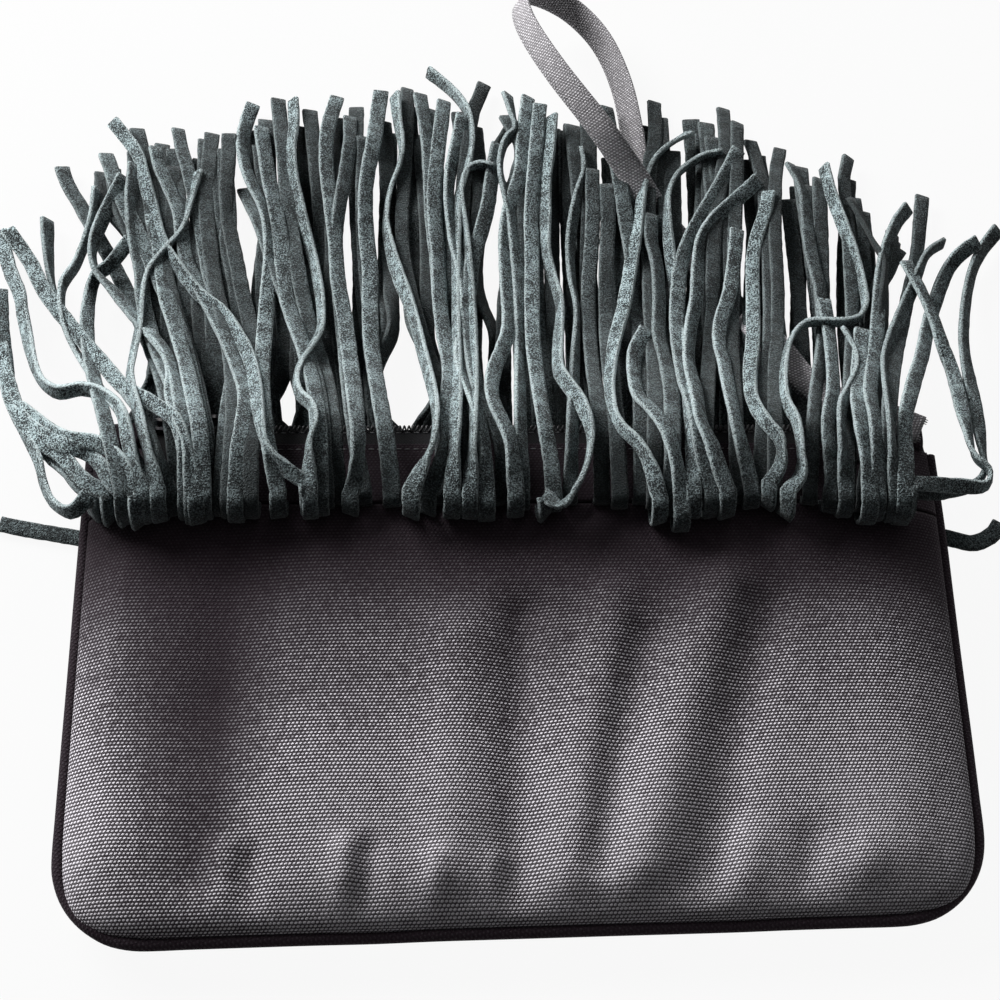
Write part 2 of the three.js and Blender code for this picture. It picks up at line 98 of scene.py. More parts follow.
# Folds of the panel as lines in the picture, with half width and rise in mm, which is below 0 for a valley.
PANEL_FOLDS = (
    (((116, 560), (102, 700), (94, 840)), 9, 1.6),
    (((235, 590), (215, 720), (205, 860)), 17, -3.0),
    (((330, 760), (350, 860)), 14, 0.8),
    (((458, 640), (452, 760), (449, 900)), 10, 2.4),
    (((524, 620), (521, 740), (518, 900)), 7, -2.6),
    (((615, 600), (588, 730), (578, 880)), 8, 2.2),
    (((645, 640), (617, 760), (600, 860)), 6, -1.7),
    (((722, 590), (684, 710), (664, 790), (634, 890)), 9, 2.8),
    (((768, 610), (738, 720), (728, 800), (704, 900)), 8, -2.4),
    (((880, 640), (897, 760), (892, 860)), 15, 1.8),
    (((560, 690), (380, 700), (240, 690)), 22, -1.0),
    (((160, 893), (400, 890), (640, 884), (900, 874)), 14, 0.3),
    (((222, 850), (218, 930)), 4.5, 1.5),
    (((250, 855), (246, 930)), 4, -1.5),
    (((345, 850), (341, 930)), 4.5, 1.6),
    (((368, 850), (364, 930)), 4, -1.6),
    (((437, 860), (433, 930)), 4, 1.3),
    (((497, 860), (494, 930)), 4, 1.2),
    (((750, 840), (742, 930)), 6, 1.4),
    (((815, 840), (808, 930)), 6, -1.8),
    (((868, 850), (862, 930)), 6, 1.2),
)
FOLD_LEVEL = 20.0

wall_turn = np.linspace(0, math.pi / 2, 160)
wall_inset = DOME_RUN * (1 - np.cos(wall_turn)) - BULGE * np.sin(2 * wall_turn) * np.cos(wall_turn) ** 2
wall_swell = np.sin(wall_turn)
wall_steps = np.hypot(np.diff(wall_inset), np.diff(wall_swell) * DOME_RISE)
wall_length = np.concatenate(((0.0,), np.cumsum(wall_steps)))
WALL_REACH = wall_length[-1]
SPARE_CLOTH = WALL_REACH - DOME_RUN


def edge_inset(u, v):
    """How far points of the flat cloth lie inside its side and bottom edges, and the way out to that edge."""
    aside = np.maximum(WALL_REACH - (SEAM_HALF_WIDTH + SPARE_CLOTH - np.abs(u)), 0)
    below = np.maximum(WALL_REACH - (v - SEAM_LOW + SPARE_CLOTH), 0)
    reach = np.maximum((aside ** CORNER_POWER + below ** CORNER_POWER) ** (1 / CORNER_POWER), 1e-6)
    out_x = np.sign(u) * (aside / reach) ** (CORNER_POWER - 1)
    out_y = -(below / reach) ** (CORNER_POWER - 1)
    length = np.maximum(np.hypot(out_x, out_y), 1e-6)
    return WALL_REACH - reach, out_x / length, out_y / length


def line_distance(x, y, line):
    """Distance from points to a line of straight runs."""
    nearest = np.full(x.shape, 1e9)
    for (x0, y0), (x1, y1) in zip(line[:-1], line[1:]):
        run_x, run_y = x1 - x0, y1 - y0
        share = np.clip(((x - x0) * run_x + (y - y0) * run_y) / (run_x ** 2 + run_y ** 2), 0, 1)
        nearest = np.minimum(nearest, np.hypot(x - x0 - share * run_x, y - y0 - share * run_y))
    return nearest


def panel_folds(x, y):
    """The rise and fall of the panel where its cloth folds."""
    rise = np.zeros(x.shape)
    for pixels, half_width, height in PANEL_FOLDS:
        line = on_level(pixels, FOLD_LEVEL)[:, :2]
        rise += height * np.exp(-(line_distance(x, y, line) / half_width) ** 2)
    return rise


def crown(y):
    """How high the front stands over the seam, falling away to the zip at the top."""
    fall = np.clip((y - CROWN_END) / CROWN_RUN, 0, 1) ** 2.2
    return (DOME_RISE + 0.8 * np.clip(y / 60, -1, 1)) * (1 - CROWN_FALL * fall)


def skewed(x, y):
    """The bag lies a little askew: its foot is lower at the left, and narrower at the right."""
    share = np.clip((FRINGE_SEAM - y) / (FRINGE_SEAM - SEAM_LOW), 0, 1)
    narrowed = x - SKEW_NARROWING * share * np.clip(x / SEAM_HALF_WIDTH, 0, 1)
    return narrowed, y + (SKEW_TILT * x - SKEW_DROP) * share


def front_shape(u, v):
    """The place on the bag of points of the flat front cloth."""
    along, out_x, out_y = edge_inset(u, v)
    inset = np.interp(along, wall_length, wall_inset)
    swell = np.interp(along, wall_length, wall_swell)
    shift = along - SPARE_CLOTH - inset
    x = u + out_x * shift
    y = v + out_y * shift
    loose = np.clip(inset / FOLD_FADE, 0, 1)
    loose = loose * loose * (3 - 2 * loose)
    x, y = skewed(x, y)
    z = SEAM_HEIGHT + swell * crown(y) + loose * panel_folds(x, y) * np.clip((60 - y) / 30, 0, 1)
    return np.stack((x, y, z), -1)


class Level:
    """A value inside a material, so that sums on it read as plain arithmetic."""

    def __init__(self, finish, socket):
        self.finish = finish
        self.socket = socket

    def math(self, operation, other=0.0, swapped=False):
        pair = (other, self) if swapped else (self, other)
        return self.finish.node("Math", {"operation": operation}, {0: pair[0], 1: pair[1]})

    def __add__(self, other):
        return self.math("ADD", other)

    def __sub__(self, other):
        return self.math("SUBTRACT", other)

    def __rsub__(self, other):
        return self.math("SUBTRACT", other, True)

    def __mul__(self, other):
        return self.math("MULTIPLY", other)

    __radd__ = __add__
    __rmul__ = __mul__


class Finish:
    """A material in the making: node() adds a node and gives back its output."""

    def __init__(self, name, **plain):
        self.material = bpy.data.materials.new(name)
        self.material.use_nodes = True
        self.tree = self.material.node_tree
        self.surface = self.tree.nodes["Principled BSDF"]
        self.fill(self.surface, plain)

    def fill(self, node, sockets):
        for key, value in sockets.items():
            key = key.replace("_", " ") if isinstance(key, str) else key
            if isinstance(value, Level):
                self.tree.links.new(value.socket, node.inputs[key])
            else:
                node.inputs[key].default_value = value

    def node(self, kind, settings=None, sockets=None, output=0):
        node = self.tree.nodes.new("ShaderNode" + kind)
        for key, value in (settings or {}).items():
            setattr(node, key, value)
        self.fill(node, sockets or {})
        return Level(self, node.outputs[output])

    def blend(self, share, first, second):
        return self.node("Mix", {"data_type": "RGBA"}, {0: share, 6: first, 7: second}, 2)

    def ease(self, value, low, high, to_low=0.0, to_high=1.0):
        stops = {"Value": value, "From Min": low, "From Max": high, "To Min": to_low, "To Max": to_high}
        return self.node("MapRange", {"interpolation_type": "SMOOTHSTEP"}, stops)

    def noise(self, vector, scale, detail=2.0, roughness=0.5):
        sockets = {"Vector": vector, "Scale": scale, "Detail": detail, "Roughness": roughness}
        return self.node("TexNoise", None, sockets)

    def done(self, bump=None, strength=0.5, distance=0.0002, **sockets):
        if bump is not None:
            lift = {"Height": bump, "Strength": strength, "Distance": distance}
            sockets["Normal"] = self.node("Bump", None, lift)
        self.fill(self.surface, sockets)
        return self.material


def woven(name, dark, light, float_length, float_row, slant=0.3, roughness=0.8, sheen=0.04, painted_light=None):
    """Plain woven cloth on the piece's own UV map, in mm: light floats in staggered rows on a dark ground."""
    cloth = Finish(name, Roughness=roughness, Sheen_Weight=sheen, Sheen_Roughness=0.4,
                   Specular_IOR_Level=0.12)
    place = cloth.node("UVMap", {"uv_map": "cloth"})
    split = cloth.node("SeparateXYZ", None, {0: place})
    across = split
    along = Level(cloth, split.socket.node.outputs[1])
    rows = along * (1 / float_row)
    row = rows.math("FLOOR")
    up = rows - row - 0.5
    columns = across * (1 / float_length) + row * 0.5
    column = columns.math("FLOOR")
    side = columns - column - 0.5 - up * slant
    spread = (side * side * 1.15 + up * up * 1.5).math("SQRT")
    dot = 1 - cloth.ease(spread, 0.2, 0.48)
    cell = cloth.node("CombineXYZ", None, {0: column, 1: row})
    chance = cloth.node("TexWhiteNoise", {"noise_dimensions": "2D"}, {"Vector": cell})
    stretched = cloth.node("VectorMath", {"operation": "MULTIPLY"}, {0: place, 1: (0.035, 0.9, 0)})
    slub = cloth.noise(stretched, 1.0, 2.0)
    blotch = cloth.noise(place, 0.05, 3.0)
    share = (dot * 0.96 + 0.04) * (chance * 0.6 + slub * 0.7 + blotch * 0.5 - 0.15)
    # Painted light and shade: the floats are paled or darkened by the mark named here; pieces without the
    # mark come out nearly all dark ground.
    if painted_light:
        share = share * (cloth.node("Attribute", {"attribute_name": painted_light}, None, 2) * 1.9 + 0.03)
    colour = cloth.blend(share.math("MINIMUM", 1.0), dark, light)
    return cloth.done(dot, 0.7, 0.0003, Base_Color=colour)


canvas = woven("charcoal_canvas", CANVAS_DARK, CANVAS_LIGHT, FLOAT_LENGTH, FLOAT_ROW, painted_light="painted_light")


def make_piece(name, points, faces, material, uvs=None, marks=None, closed=True):
    """A mesh piece from points in mm, with a UV for each face corner and marks for each point."""
    mesh = bpy.data.meshes.new(name)
    mesh.from_pydata((np.asarray(points) * MM).tolist(), [], faces)
    if uvs is not None:
        layer = mesh.uv_layers.new(name="cloth")
        layer.data.foreach_set("uv", np.asarray(uvs, float).ravel())
    for mark, values in (marks or {}).items():
        mesh.attributes.new(mark, "FLOAT", "POINT").data.foreach_set("value", np.asarray(values, float))
    mesh.materials.append(material)
    if closed:
        shell = bmesh.new()
        shell.from_mesh(mesh)
        bmesh.ops.recalc_face_normals(shell, faces=shell.faces)
        shell.to_mesh(mesh)
        shell.free()
    mesh.shade_smooth()
    piece = bpy.data.objects.new(name, mesh)
    scene.collection.objects.link(piece)
    return piece


def cloth_piece(name, shape, u_span, v_span, grid, material, thickness, clipped=True, facing=1, painted_light_map=None):
    """A sheet of cloth laid out flat on a grid, cut to the bag's outline and put in place by shape(u, v)."""
    u_count = round((u_span[1] - u_span[0]) / grid) + 1
    v_count = round((v_span[1] - v_span[0]) / grid) + 1
    u, v = np.meshgrid(np.linspace(*u_span, u_count), np.linspace(*v_span, v_count))
    u, v = u.ravel(), v.ravel()
    inside = np.ones(u.shape, bool)
    if clipped:
        inside = edge_inset(u, v)[0] > 0
        for _ in range(5):
            inset, out_x, out_y = edge_inset(u, v)
            over = np.minimum(inset, 0)
            u = u + out_x * over
            v = v + out_y * over
    points = shape(u, v)
    faces = []
    for row in range(v_count - 1):
        for column in range(u_count - 1):
            first = row * u_count + column
            corners = (first, first + 1, first + u_count + 1, first + u_count)
            if sum(inside[c] for c in corners) > 0:
                faces.append(corners[::facing])
    used = sorted({corner for face in faces for corner in face})
    place = {old: new for new, old in enumerate(used)}
    faces = [tuple(place[corner] for corner in face) for face in faces]
    uvs = [(u[used[corner]], v[used[corner]]) for face in faces for corner in face]
    # An optional mark of painted light and shade for each point.
    marks = {"painted_light": painted_light_map(points[used])} if painted_light_map else None
    piece = make_piece(name, points[used], faces, material, uvs, marks, closed=False)
    wall = piece.modifiers.new("thickness", "SOLIDIFY")
    wall.thickness = thickness * MM
    wall.offset = -1
    return piece


def settle(piece, slot, *nodes):
    """A finished piece of the bag itself: it rides on the bag and stands for its CAD nodes."""
    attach(piece, "bag")
    if nodes:
        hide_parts(*nodes)


# How much painted light the canvas's floats get: little under the fringe, where its painted shadow falls,
# more to the foot, less down the left side; fold crests get painted light and fold valleys painted shade.
PAINTED_LIGHT_UP = ((-84, 1.9), (-60, 1.7), (-25, 0.68), (5, 0.3), (22, 0.07), (34, 0.01), (51, 0))
PAINTED_LIGHT_ACROSS = ((-137, 1.25), (-128, 0.8), (-112, 0.36), (-92, 0.4), (-70, 0.85), (-45, 1.0),
               (60, 1.0), (100, 1.25))


# Painted light and shade for points of the front panel, from the tables above and from the folds.
def panel_light_and_shade(points):
    up = np.interp(points[:, 1], *zip(*PAINTED_LIGHT_UP))
    across = np.interp(points[:, 0], *zip(*PAINTED_LIGHT_ACROSS))
    return np.clip(up * across + 0.09 * panel_folds(points[:, 0], points[:, 1]) * up, 0, 2.2)


SLOT_HALF = 0.5
side_reach = SEAM_HALF_WIDTH + SPARE_CLOTH
front_panel = cloth_piece("front_panel_canvas", front_shape, (-side_reach, side_reach),
                          (SEAM_LOW - SPARE_CLOTH, FRINGE_SEAM - SLOT_HALF), CANVAS_GRID, canvas, CANVAS,
                          painted_light_map=panel_light_and_shade)
settle(front_panel, "canvas", "front_panel")

# Front yoke. The strip of the same canvas between the fringe seam and the zip, its top edge folded under
# and sewn down on the zip tape with one row of stitches.
YOKE_TOP = 75.5
HEM_ROLL = 0.9
HEM_DEPTH = 4.0


def yoke_shape(u, v):
    """The yoke runs on from the panel, turns over at its top edge and runs back under itself."""
    over = np.maximum(v - YOKE_TOP, 0)
    flat = front_shape(u, np.minimum(v, YOKE_TOP))
    slope = -0.45
    turn = np.clip(over / HEM_ROLL, 0, math.pi)
    back = np.maximum(over - HEM_ROLL * math.pi, 0)
    flat[:, 1] += HEM_ROLL * np.sin(turn) - back
    flat[:, 2] += -HEM_ROLL * (1 - np.cos(turn)) - slope * back - 0.02 * back
    return flat


front_yoke = cloth_piece("front_yoke_canvas", yoke_shape, (-side_reach, side_reach),
                         (FRINGE_SEAM + SLOT_HALF, YOKE_TOP + HEM_DEPTH), 1.0, canvas, CANVAS * 0.7)
settle(front_yoke, "canvas", "front_yoke")

# Back panel and back yoke. The same canvas, lying nearly flat under the bag,
# and drawn up to the seams at its edges.
BACK_LIFT = 4.8
BACK_RUN = 52.0
BACK_EDGE = 8.0
BACK_TOP = 86.5
BACK_FLAT = 60.0
BACK_GRID = 2.0
BACK_CANVAS = CANVAS * 0.8


def back_shape(u, v):
    """The place of points of the back cloth, which lies on the table and rises to the seams."""
    along, out_x, out_y = edge_inset(u, v)
    inset = np.interp(along, wall_length, wall_inset)
    shift = along - SPARE_CLOTH - inset
    x = u + out_x * shift
    y = v + out_y * shift
    top_inset = np.maximum(BACK_TOP - y, 0)
    inner = np.clip((BACK_FLAT - np.minimum(inset, top_inset)) / BACK_RUN, 0, 1)
    edge = np.clip(1 - inset / BACK_EDGE, 0, 1)
    z = BACK_LIFT * inner ** 1.6 + (SEAM_HEIGHT - BACK_LIFT - 0.3) * edge ** 2
    return np.stack((*skewed(x, y), z), -1)


def back_yoke_shape(u, v):
    place = back_shape(u, v)
    place[:, 2] += 0.2
    return place


back_panel = cloth_piece("back_panel_canvas", back_shape, (-side_reach, side_reach),
                         (SEAM_LOW - SPARE_CLOTH, FRINGE_SEAM - SLOT_HALF), BACK_GRID, canvas,
                         BACK_CANVAS, facing=-1)
settle(back_panel, "canvas", "back_panel")
back_yoke = cloth_piece("back_yoke_canvas", back_yoke_shape, (-side_reach, side_reach),
                        (FRINGE_SEAM + SLOT_HALF, YOKE_TOP + 0.4), BACK_GRID, canvas, BACK_CANVAS, facing=-1)
settle(back_yoke, "canvas", "back_yoke")

# Piping. A cord in a bias strip of the same canvas, sewn into the seam from the zip down one side,
# round the bottom and up the other side.
PIPING_HALF_WIDTH = 138.0
PIPING_LOW = -84.5
PIPING_HEIGHT = 9.0
PIPING_RADIUS = 2.0
PIPING_BEND = 26.3
PIPING_SIDES = 12


def smooth_line(points, step):
    """A smooth line through points, resampled at even steps."""
    points = np.asarray(points, float)
    chord = np.linalg.norm(np.diff(points, axis=0), axis=1)
    knots = np.concatenate(((0.0,), np.cumsum(np.maximum(chord, 1e-6))))
    slope = np.empty_like(points)
    slope[1:-1] = (points[2:] - points[:-2]) / (knots[2:] - knots[:-2])[:, None]
    slope[0] = (points[1] - points[0]) / (knots[1] - knots[0])
    slope[-1] = (points[-1] - points[-2]) / (knots[-1] - knots[-2])
    fine = np.linspace(0, knots[-1], len(points) * 24)
    part = np.clip(np.searchsorted(knots, fine, "right") - 1, 0, len(points) - 2)
    span = (knots[part + 1] - knots[part])[:, None]
    t = (fine - knots[part])[:, None] / span
    line = ((2 * t ** 3 - 3 * t ** 2 + 1) * points[part] + (t ** 3 - 2 * t ** 2 + t) * span * slope[part]
            + (3 * t ** 2 - 2 * t ** 3) * points[part + 1] + (t ** 3 - t ** 2) * span * slope[part + 1])
    length = np.concatenate(((0.0,), np.cumsum(np.linalg.norm(np.diff(line, axis=0), axis=1))))
    count = max(round(length[-1] / step), 2)
    even = np.linspace(0, length[-1], count + 1)
    return np.stack([np.interp(even, length, line[:, k]) for k in range(points.shape[1])], 1)


def sweep(rings):
    """Faces and UVs, in mm, of a closed tube through rings of points."""
    count, sides = rings.shape[:2]
    girth = np.linalg.norm(np.diff(np.concatenate((rings[0], rings[0][:1])), axis=0), axis=1)
    around = np.concatenate(((0.0,), np.cumsum(girth)))
    length = np.linalg.norm(np.diff(rings.mean(1), axis=0), axis=1)
    along = np.concatenate(((0.0,), np.cumsum(length)))
    faces, uvs = [], []
    for ring in range(count - 1):
        for side in range(sides):
            first = ring * sides + side
            beside = ring * sides + (side + 1) % sides
            faces.append((first, beside, beside + sides, first + sides))
            for corner, end in ((side, ring), (side + 1, ring), (side + 1, ring + 1), (side, ring + 1)):
                uvs.append((around[corner], along[end]))
    for ring in (0, count - 1):
        faces.append(tuple(ring * sides + side for side in range(sides)))
        uvs += [(around[side], along[ring]) for side in range(sides)]
    return faces, uvs


def directions(line):
    """The unit direction of a line at each of its points."""
    ahead = np.gradient(line, axis=0)
    return ahead / np.maximum(np.linalg.norm(ahead, axis=1), 1e-9)[:, None]


bend_turn = np.linspace(0, math.pi / 2, 9)
bend_x = PIPING_HALF_WIDTH - PIPING_BEND + PIPING_BEND * np.cos(bend_turn)
bend_y = PIPING_LOW + PIPING_BEND - PIPING_BEND * np.sin(bend_turn)
half_path = ([(PIPING_HALF_WIDTH, y) for y in np.linspace(YOKE_TOP, bend_y[0] + 12, 8)]
             + list(zip(bend_x, bend_y)) + [(x, PIPING_LOW) for x in np.linspace(bend_x[-1] - 14, 10, 6)])
piping_path = half_path + [(-x, y) for x, y in half_path[::-1]]
wander = random.Random(4)
piping_points = [(*skewed(x, y), PIPING_HEIGHT + wander.uniform(-0.35, 0.35)) for x, y in piping_path]
piping_line = smooth_line(piping_points, 2.0)
ahead = directions(piping_line)
outward = np.cross(ahead, (0, 0, 1))
upward = np.cross(outward, ahead)
ring_turn = np.linspace(0, 2 * math.pi, PIPING_SIDES, endpoint=False)
piping_rings = (piping_line[:, None] + PIPING_RADIUS * (np.cos(ring_turn)[:, None] * outward[:, None]
                                                        + np.sin(ring_turn)[:, None] * upward[:, None]))
faces, uvs = sweep(piping_rings)
turn = math.radians(45)
bias = [(u * math.cos(turn) - v * math.sin(turn), u * math.sin(turn) + v * math.cos(turn)) for u, v in uvs]
piping = make_piece("piping_cord", piping_rings.reshape(-1, 3), faces, canvas, bias)
settle(piping, "piping", "piping")

# Zip tapes. Two black woven tapes, one sewn under the front yoke and one under the back yoke,
# that meet in the chain along the top of the bag.
TAPE_HALF_LENGTH = 120.8
TAPE = 0.5
TAPE_DARK = (0.006, 0.006, 0.007, 1)
TAPE_LIGHT = (0.035, 0.034, 0.037, 1)
FRONT_TAPE = ((68.2, 18.4), (74.0, 16.6), (77.5, 15.0), (81.0, 13.1), (83.4, 12.0), (84.7, 11.6))
BACK_TAPE = ((68.2, 5.4), (76.0, 6.3), (80.5, 7.6), (83.6, 9.2), (84.9, 10.4), (85.1, 11.2))
tape_cloth = woven("zip_tape_weave", TAPE_DARK, TAPE_LIGHT, 0.9, 0.5, 0.5, 0.85, 0.1)


def tape_piece(name, section, facing):
    """A straight tape along the bag whose section runs through points (y, z)."""
    line = smooth_line(section, 0.8)
    length = np.concatenate(((0.0,), np.cumsum(np.linalg.norm(np.diff(line, axis=0), axis=1))))

    def shape(u, v):
        return np.stack((u, np.interp(v, length, line[:, 0]), np.interp(v, length, line[:, 1])), -1)

    return cloth_piece(name, shape, (-TAPE_HALF_LENGTH, TAPE_HALF_LENGTH), (0, length[-1]), 0.9, tape_cloth,
                       TAPE, False, facing)


front_tape = tape_piece("zip_tape_front_woven", FRONT_TAPE, 1)
settle(front_tape, "zip_tape", "zip_tape_front")
back_tape = tape_piece("zip_tape_back_woven", BACK_TAPE, -1)
settle(back_tape, "zip_tape", "zip_tape_back")

# Zip chain. Two coils of dark nylon, each a spring along the edge of its tape, closed into each other.
COIL_HALF_LENGTH = 118.0
COIL_PITCH = 1.5
COIL_RADIUS = 0.85
COIL_WIRE = 0.3
COIL_DARK = (0.03, 0.03, 0.033, 1)
COIL_LIGHT = (0.14, 0.14, 0.145, 1)
coil_nylon = Finish("coil_nylon", Roughness=0.42, Specular_IOR_Level=0.5)
coil_place = coil_nylon.node("TexCoord", None, None, 3)
coil_tone = coil_nylon.noise(coil_place, 900.0)
coil_colour = coil_nylon.blend(coil_tone, COIL_DARK, COIL_LIGHT)
coil_finish = coil_nylon.done(coil_tone, 0.2, 0.0001, Base_Color=coil_colour)


def node_tree(name, inputs):
    """An empty tree of geometry nodes with one input for the shape and named numbers."""
    tree = bpy.data.node_groups.new(name, "GeometryNodeTree")
    tree.interface.new_socket("Geometry", in_out="INPUT", socket_type="NodeSocketGeometry")
    for label, kind in inputs.items():
        tree.interface.new_socket(label, in_out="INPUT", socket_type="NodeSocket" + kind)
    tree.interface.new_socket("Geometry", in_out="OUTPUT", socket_type="NodeSocketGeometry")
    return tree


def tree_node(tree, kind, settings=None, sockets=None):
    """One node of a tree, with its settings, and its sockets' values or links."""
    node = tree.nodes.new(kind)
    for key, value in (settings or {}).items():
        setattr(node, key, value)
    for key, value in (sockets or {}).items():
        if isinstance(value, bpy.types.NodeSocket):
            tree.links.new(value, node.inputs[key])
        else:
            node.inputs[key].default_value = value
    return node


def grown(name, line, tree, values):
    """Runs a tree on a line of points in mm and keeps what it makes as a plain mesh."""
    mesh = bpy.data.meshes.new(name)
    mesh.from_pydata((np.asarray(line) * MM).tolist(), [(k, k + 1) for k in range(len(line) - 1)], [])
    seed = bpy.data.objects.new(name + "_line", mesh)
    scene.collection.objects.link(seed)
    modifier = seed.modifiers.new("grow", "NODES")
    modifier.node_group = tree
    for socket in tree.interface.items_tree:
        if socket.in_out == "INPUT" and socket.name in values:
            modifier[socket.identifier] = values[socket.name]
    result = seed.evaluated_get(bpy.context.evaluated_depsgraph_get())
    made = bpy.data.meshes.new_from_object(result)
    bpy.data.objects.remove(seed)
    made.name = name
    made.shade_smooth()
    piece = bpy.data.objects.new(name, made)
    scene.collection.objects.link(piece)
    return piece


spring = node_tree("spring", {"Turns": "Float", "Radius": "Float", "Length": "Float", "Wire": "Float",
                              "Finish": "Material", "Place": "Vector"})
entry = tree_node(spring, "NodeGroupInput")
spiral = tree_node(spring, "GeometryNodeCurveSpiral", None, {
    "Resolution": 9, "Rotations": entry.outputs["Turns"], "Start Radius": entry.outputs["Radius"],
    "End Radius": entry.outputs["Radius"], "Height": entry.outputs["Length"]})
wire = tree_node(spring, "GeometryNodeCurvePrimitiveCircle", None,
                 {"Resolution": 5, "Radius": entry.outputs["Wire"]})
body = tree_node(spring, "GeometryNodeCurveToMesh", None,
                 {"Curve": spiral.outputs[0], "Profile Curve": wire.outputs[0], "Fill Caps": True})
lying = tree_node(spring, "GeometryNodeTransform", None, {
    "Geometry": body.outputs[0], "Rotation": (0, math.pi / 2, 0), "Translation": entry.outputs["Place"]})
plain = tree_node(spring, "GeometryNodeRealizeInstances", None, {0: lying.outputs[0]})
coated = tree_node(spring, "GeometryNodeSetMaterial", None,
                   {"Geometry": plain.outputs[0], "Material": entry.outputs["Finish"]})
tree_node(spring, "NodeGroupOutput", None, {0: coated.outputs[0]})

CHAIN_Y = 85.3
CHAIN_HEIGHT = 11.514
for side, shift in (("front", -1), ("back", 1)):
    coil = grown("zip_coil_" + side + "_spring", ((0, 0, 0), (1, 0, 0)), spring, {
        "Turns": 2 * COIL_HALF_LENGTH / COIL_PITCH, "Radius": COIL_RADIUS * MM, "Wire": COIL_WIRE * MM,
        "Length": 2 * COIL_HALF_LENGTH * MM, "Finish": coil_finish,
        "Place": (-COIL_HALF_LENGTH * MM, (CHAIN_Y + 0.3 * shift) * MM,
                  (CHAIN_HEIGHT - 0.65 * shift) * MM)})
    settle(coil, "zip_coil", "zip_coil_" + side)

# Stitches. Grey sewing thread, in rows of short stitches along the folded edge of the yoke
# and on the zip tape.
STITCH_PITCH = 2.9
STITCH_LENGTH = 2.0
STITCH_THICK = 0.42
THREAD_DARK = (0.08, 0.08, 0.085, 1)
THREAD_LIGHT = (0.34, 0.34, 0.35, 1)
thread = Finish("sewing_thread", Roughness=0.6, Sheen_Weight=0.2)
thread_place = thread.node("TexCoord", None, None, 3)
thread_twist = thread.noise(thread_place, 2500.0)
thread_colour = thread.blend(thread_twist, THREAD_DARK, THREAD_LIGHT)
thread_finish = thread.done(thread_twist, 0.3, 0.0001, Base_Color=thread_colour)

stitching = node_tree("stitching", {"Pitch": "Float", "Stitch": "Float", "Thick": "Float",
                                    "Finish": "Material"})
entry = tree_node(stitching, "NodeGroupInput")
seam = tree_node(stitching, "GeometryNodeMeshToCurve", None, {0: entry.outputs["Geometry"]})
marks = tree_node(stitching, "GeometryNodeResampleCurve", {"mode": "LENGTH"},
                  {"Curve": seam.outputs[0], "Length": entry.outputs["Pitch"]})
bead = tree_node(stitching, "GeometryNodeMeshUVSphere", None, {"Segments": 6, "Rings": 4, "Radius": 0.5})
size = tree_node(stitching, "ShaderNodeCombineXYZ", None, {
    0: entry.outputs["Thick"], 1: entry.outputs["Thick"], 2: entry.outputs["Stitch"]})
heading = tree_node(stitching, "GeometryNodeInputTangent")
turned = tree_node(stitching, "FunctionNodeAlignRotationToVector", {"axis": "Z"},
                   {"Vector": heading.outputs[0]})
sewn = tree_node(stitching, "GeometryNodeInstanceOnPoints", None, {
    "Points": marks.outputs[0], "Instance": bead.outputs[0], "Rotation": turned.outputs[0],
    "Scale": size.outputs[0]})
plain = tree_node(stitching, "GeometryNodeRealizeInstances", None, {0: sewn.outputs[0]})
coated = tree_node(stitching, "GeometryNodeSetMaterial", None,
                   {"Geometry": plain.outputs[0], "Material": entry.outputs["Finish"]})
tree_node(stitching, "NodeGroupOutput", None, {0: coated.outputs[0]})


def stitch_row(name, line, slot):
    row = grown(name, line, stitching, {"Pitch": STITCH_PITCH * MM, "Stitch": STITCH_LENGTH * MM,
                                        "Thick": STITCH_THICK * MM, "Finish": thread_finish})
    settle(row, slot)


row_u = np.linspace(-120, 120, 161)
yoke_row = yoke_shape(row_u, np.full(row_u.shape, YOKE_TOP - 2.0))
yoke_row[:, 2] += 0.12
stitch_row("yoke_stitches", yoke_row, "canvas")
tape_row = np.stack((row_u * 0.97, np.full(row_u.shape, 83.4), np.full(row_u.shape, 12.2)), 1)
stitch_row("tape_stitches", tape_row, "zip_tape")

# Zip end tabs. A scrap of canvas folded over each end of the zip and sewn into the top of the side seam.
TAB_X = (121.1, 135.1)
TAB_Y = (75.8, 86.3)
TAB_Z = (4.8, 16.9)


def tab_piece(name, hand):
    """A folded tab: a rounded wrap of cloth, flat at its sides and round over its top edge."""
    steps = np.linspace(0, 1, 9)
    turn = np.linspace(0, 2 * math.pi, 28, endpoint=False)
    rings = []
    for share in steps:
        close = 1 - 0.05 * abs(2 * share - 1) ** 4
        lean = 1 - 0.18 * share
        y = np.sign(np.cos(turn)) * np.abs(np.cos(turn)) ** 0.55 * (TAB_Y[1] - TAB_Y[0]) / 2 * close
        z = np.sign(np.sin(turn)) * np.abs(np.sin(turn)) ** 0.75 * (TAB_Z[1] - TAB_Z[0]) / 2 * close * lean
        x = np.full(turn.shape, hand * (TAB_X[0] + share * (TAB_X[1] - TAB_X[0])))
        rings.append(np.stack((x, y + sum(TAB_Y) / 2, z + sum(TAB_Z) / 2 - 0.4 * share), 1))
    rings = np.array(rings)
    faces, uvs = sweep(rings)
    return make_piece(name, rings.reshape(-1, 3), faces, canvas, uvs)


for side, hand in (("left", -1), ("right", 1)):
    tab = tab_piece("zip_tab_" + side, hand)
    settle(tab, "canvas", "zip_end_tab_" + side)

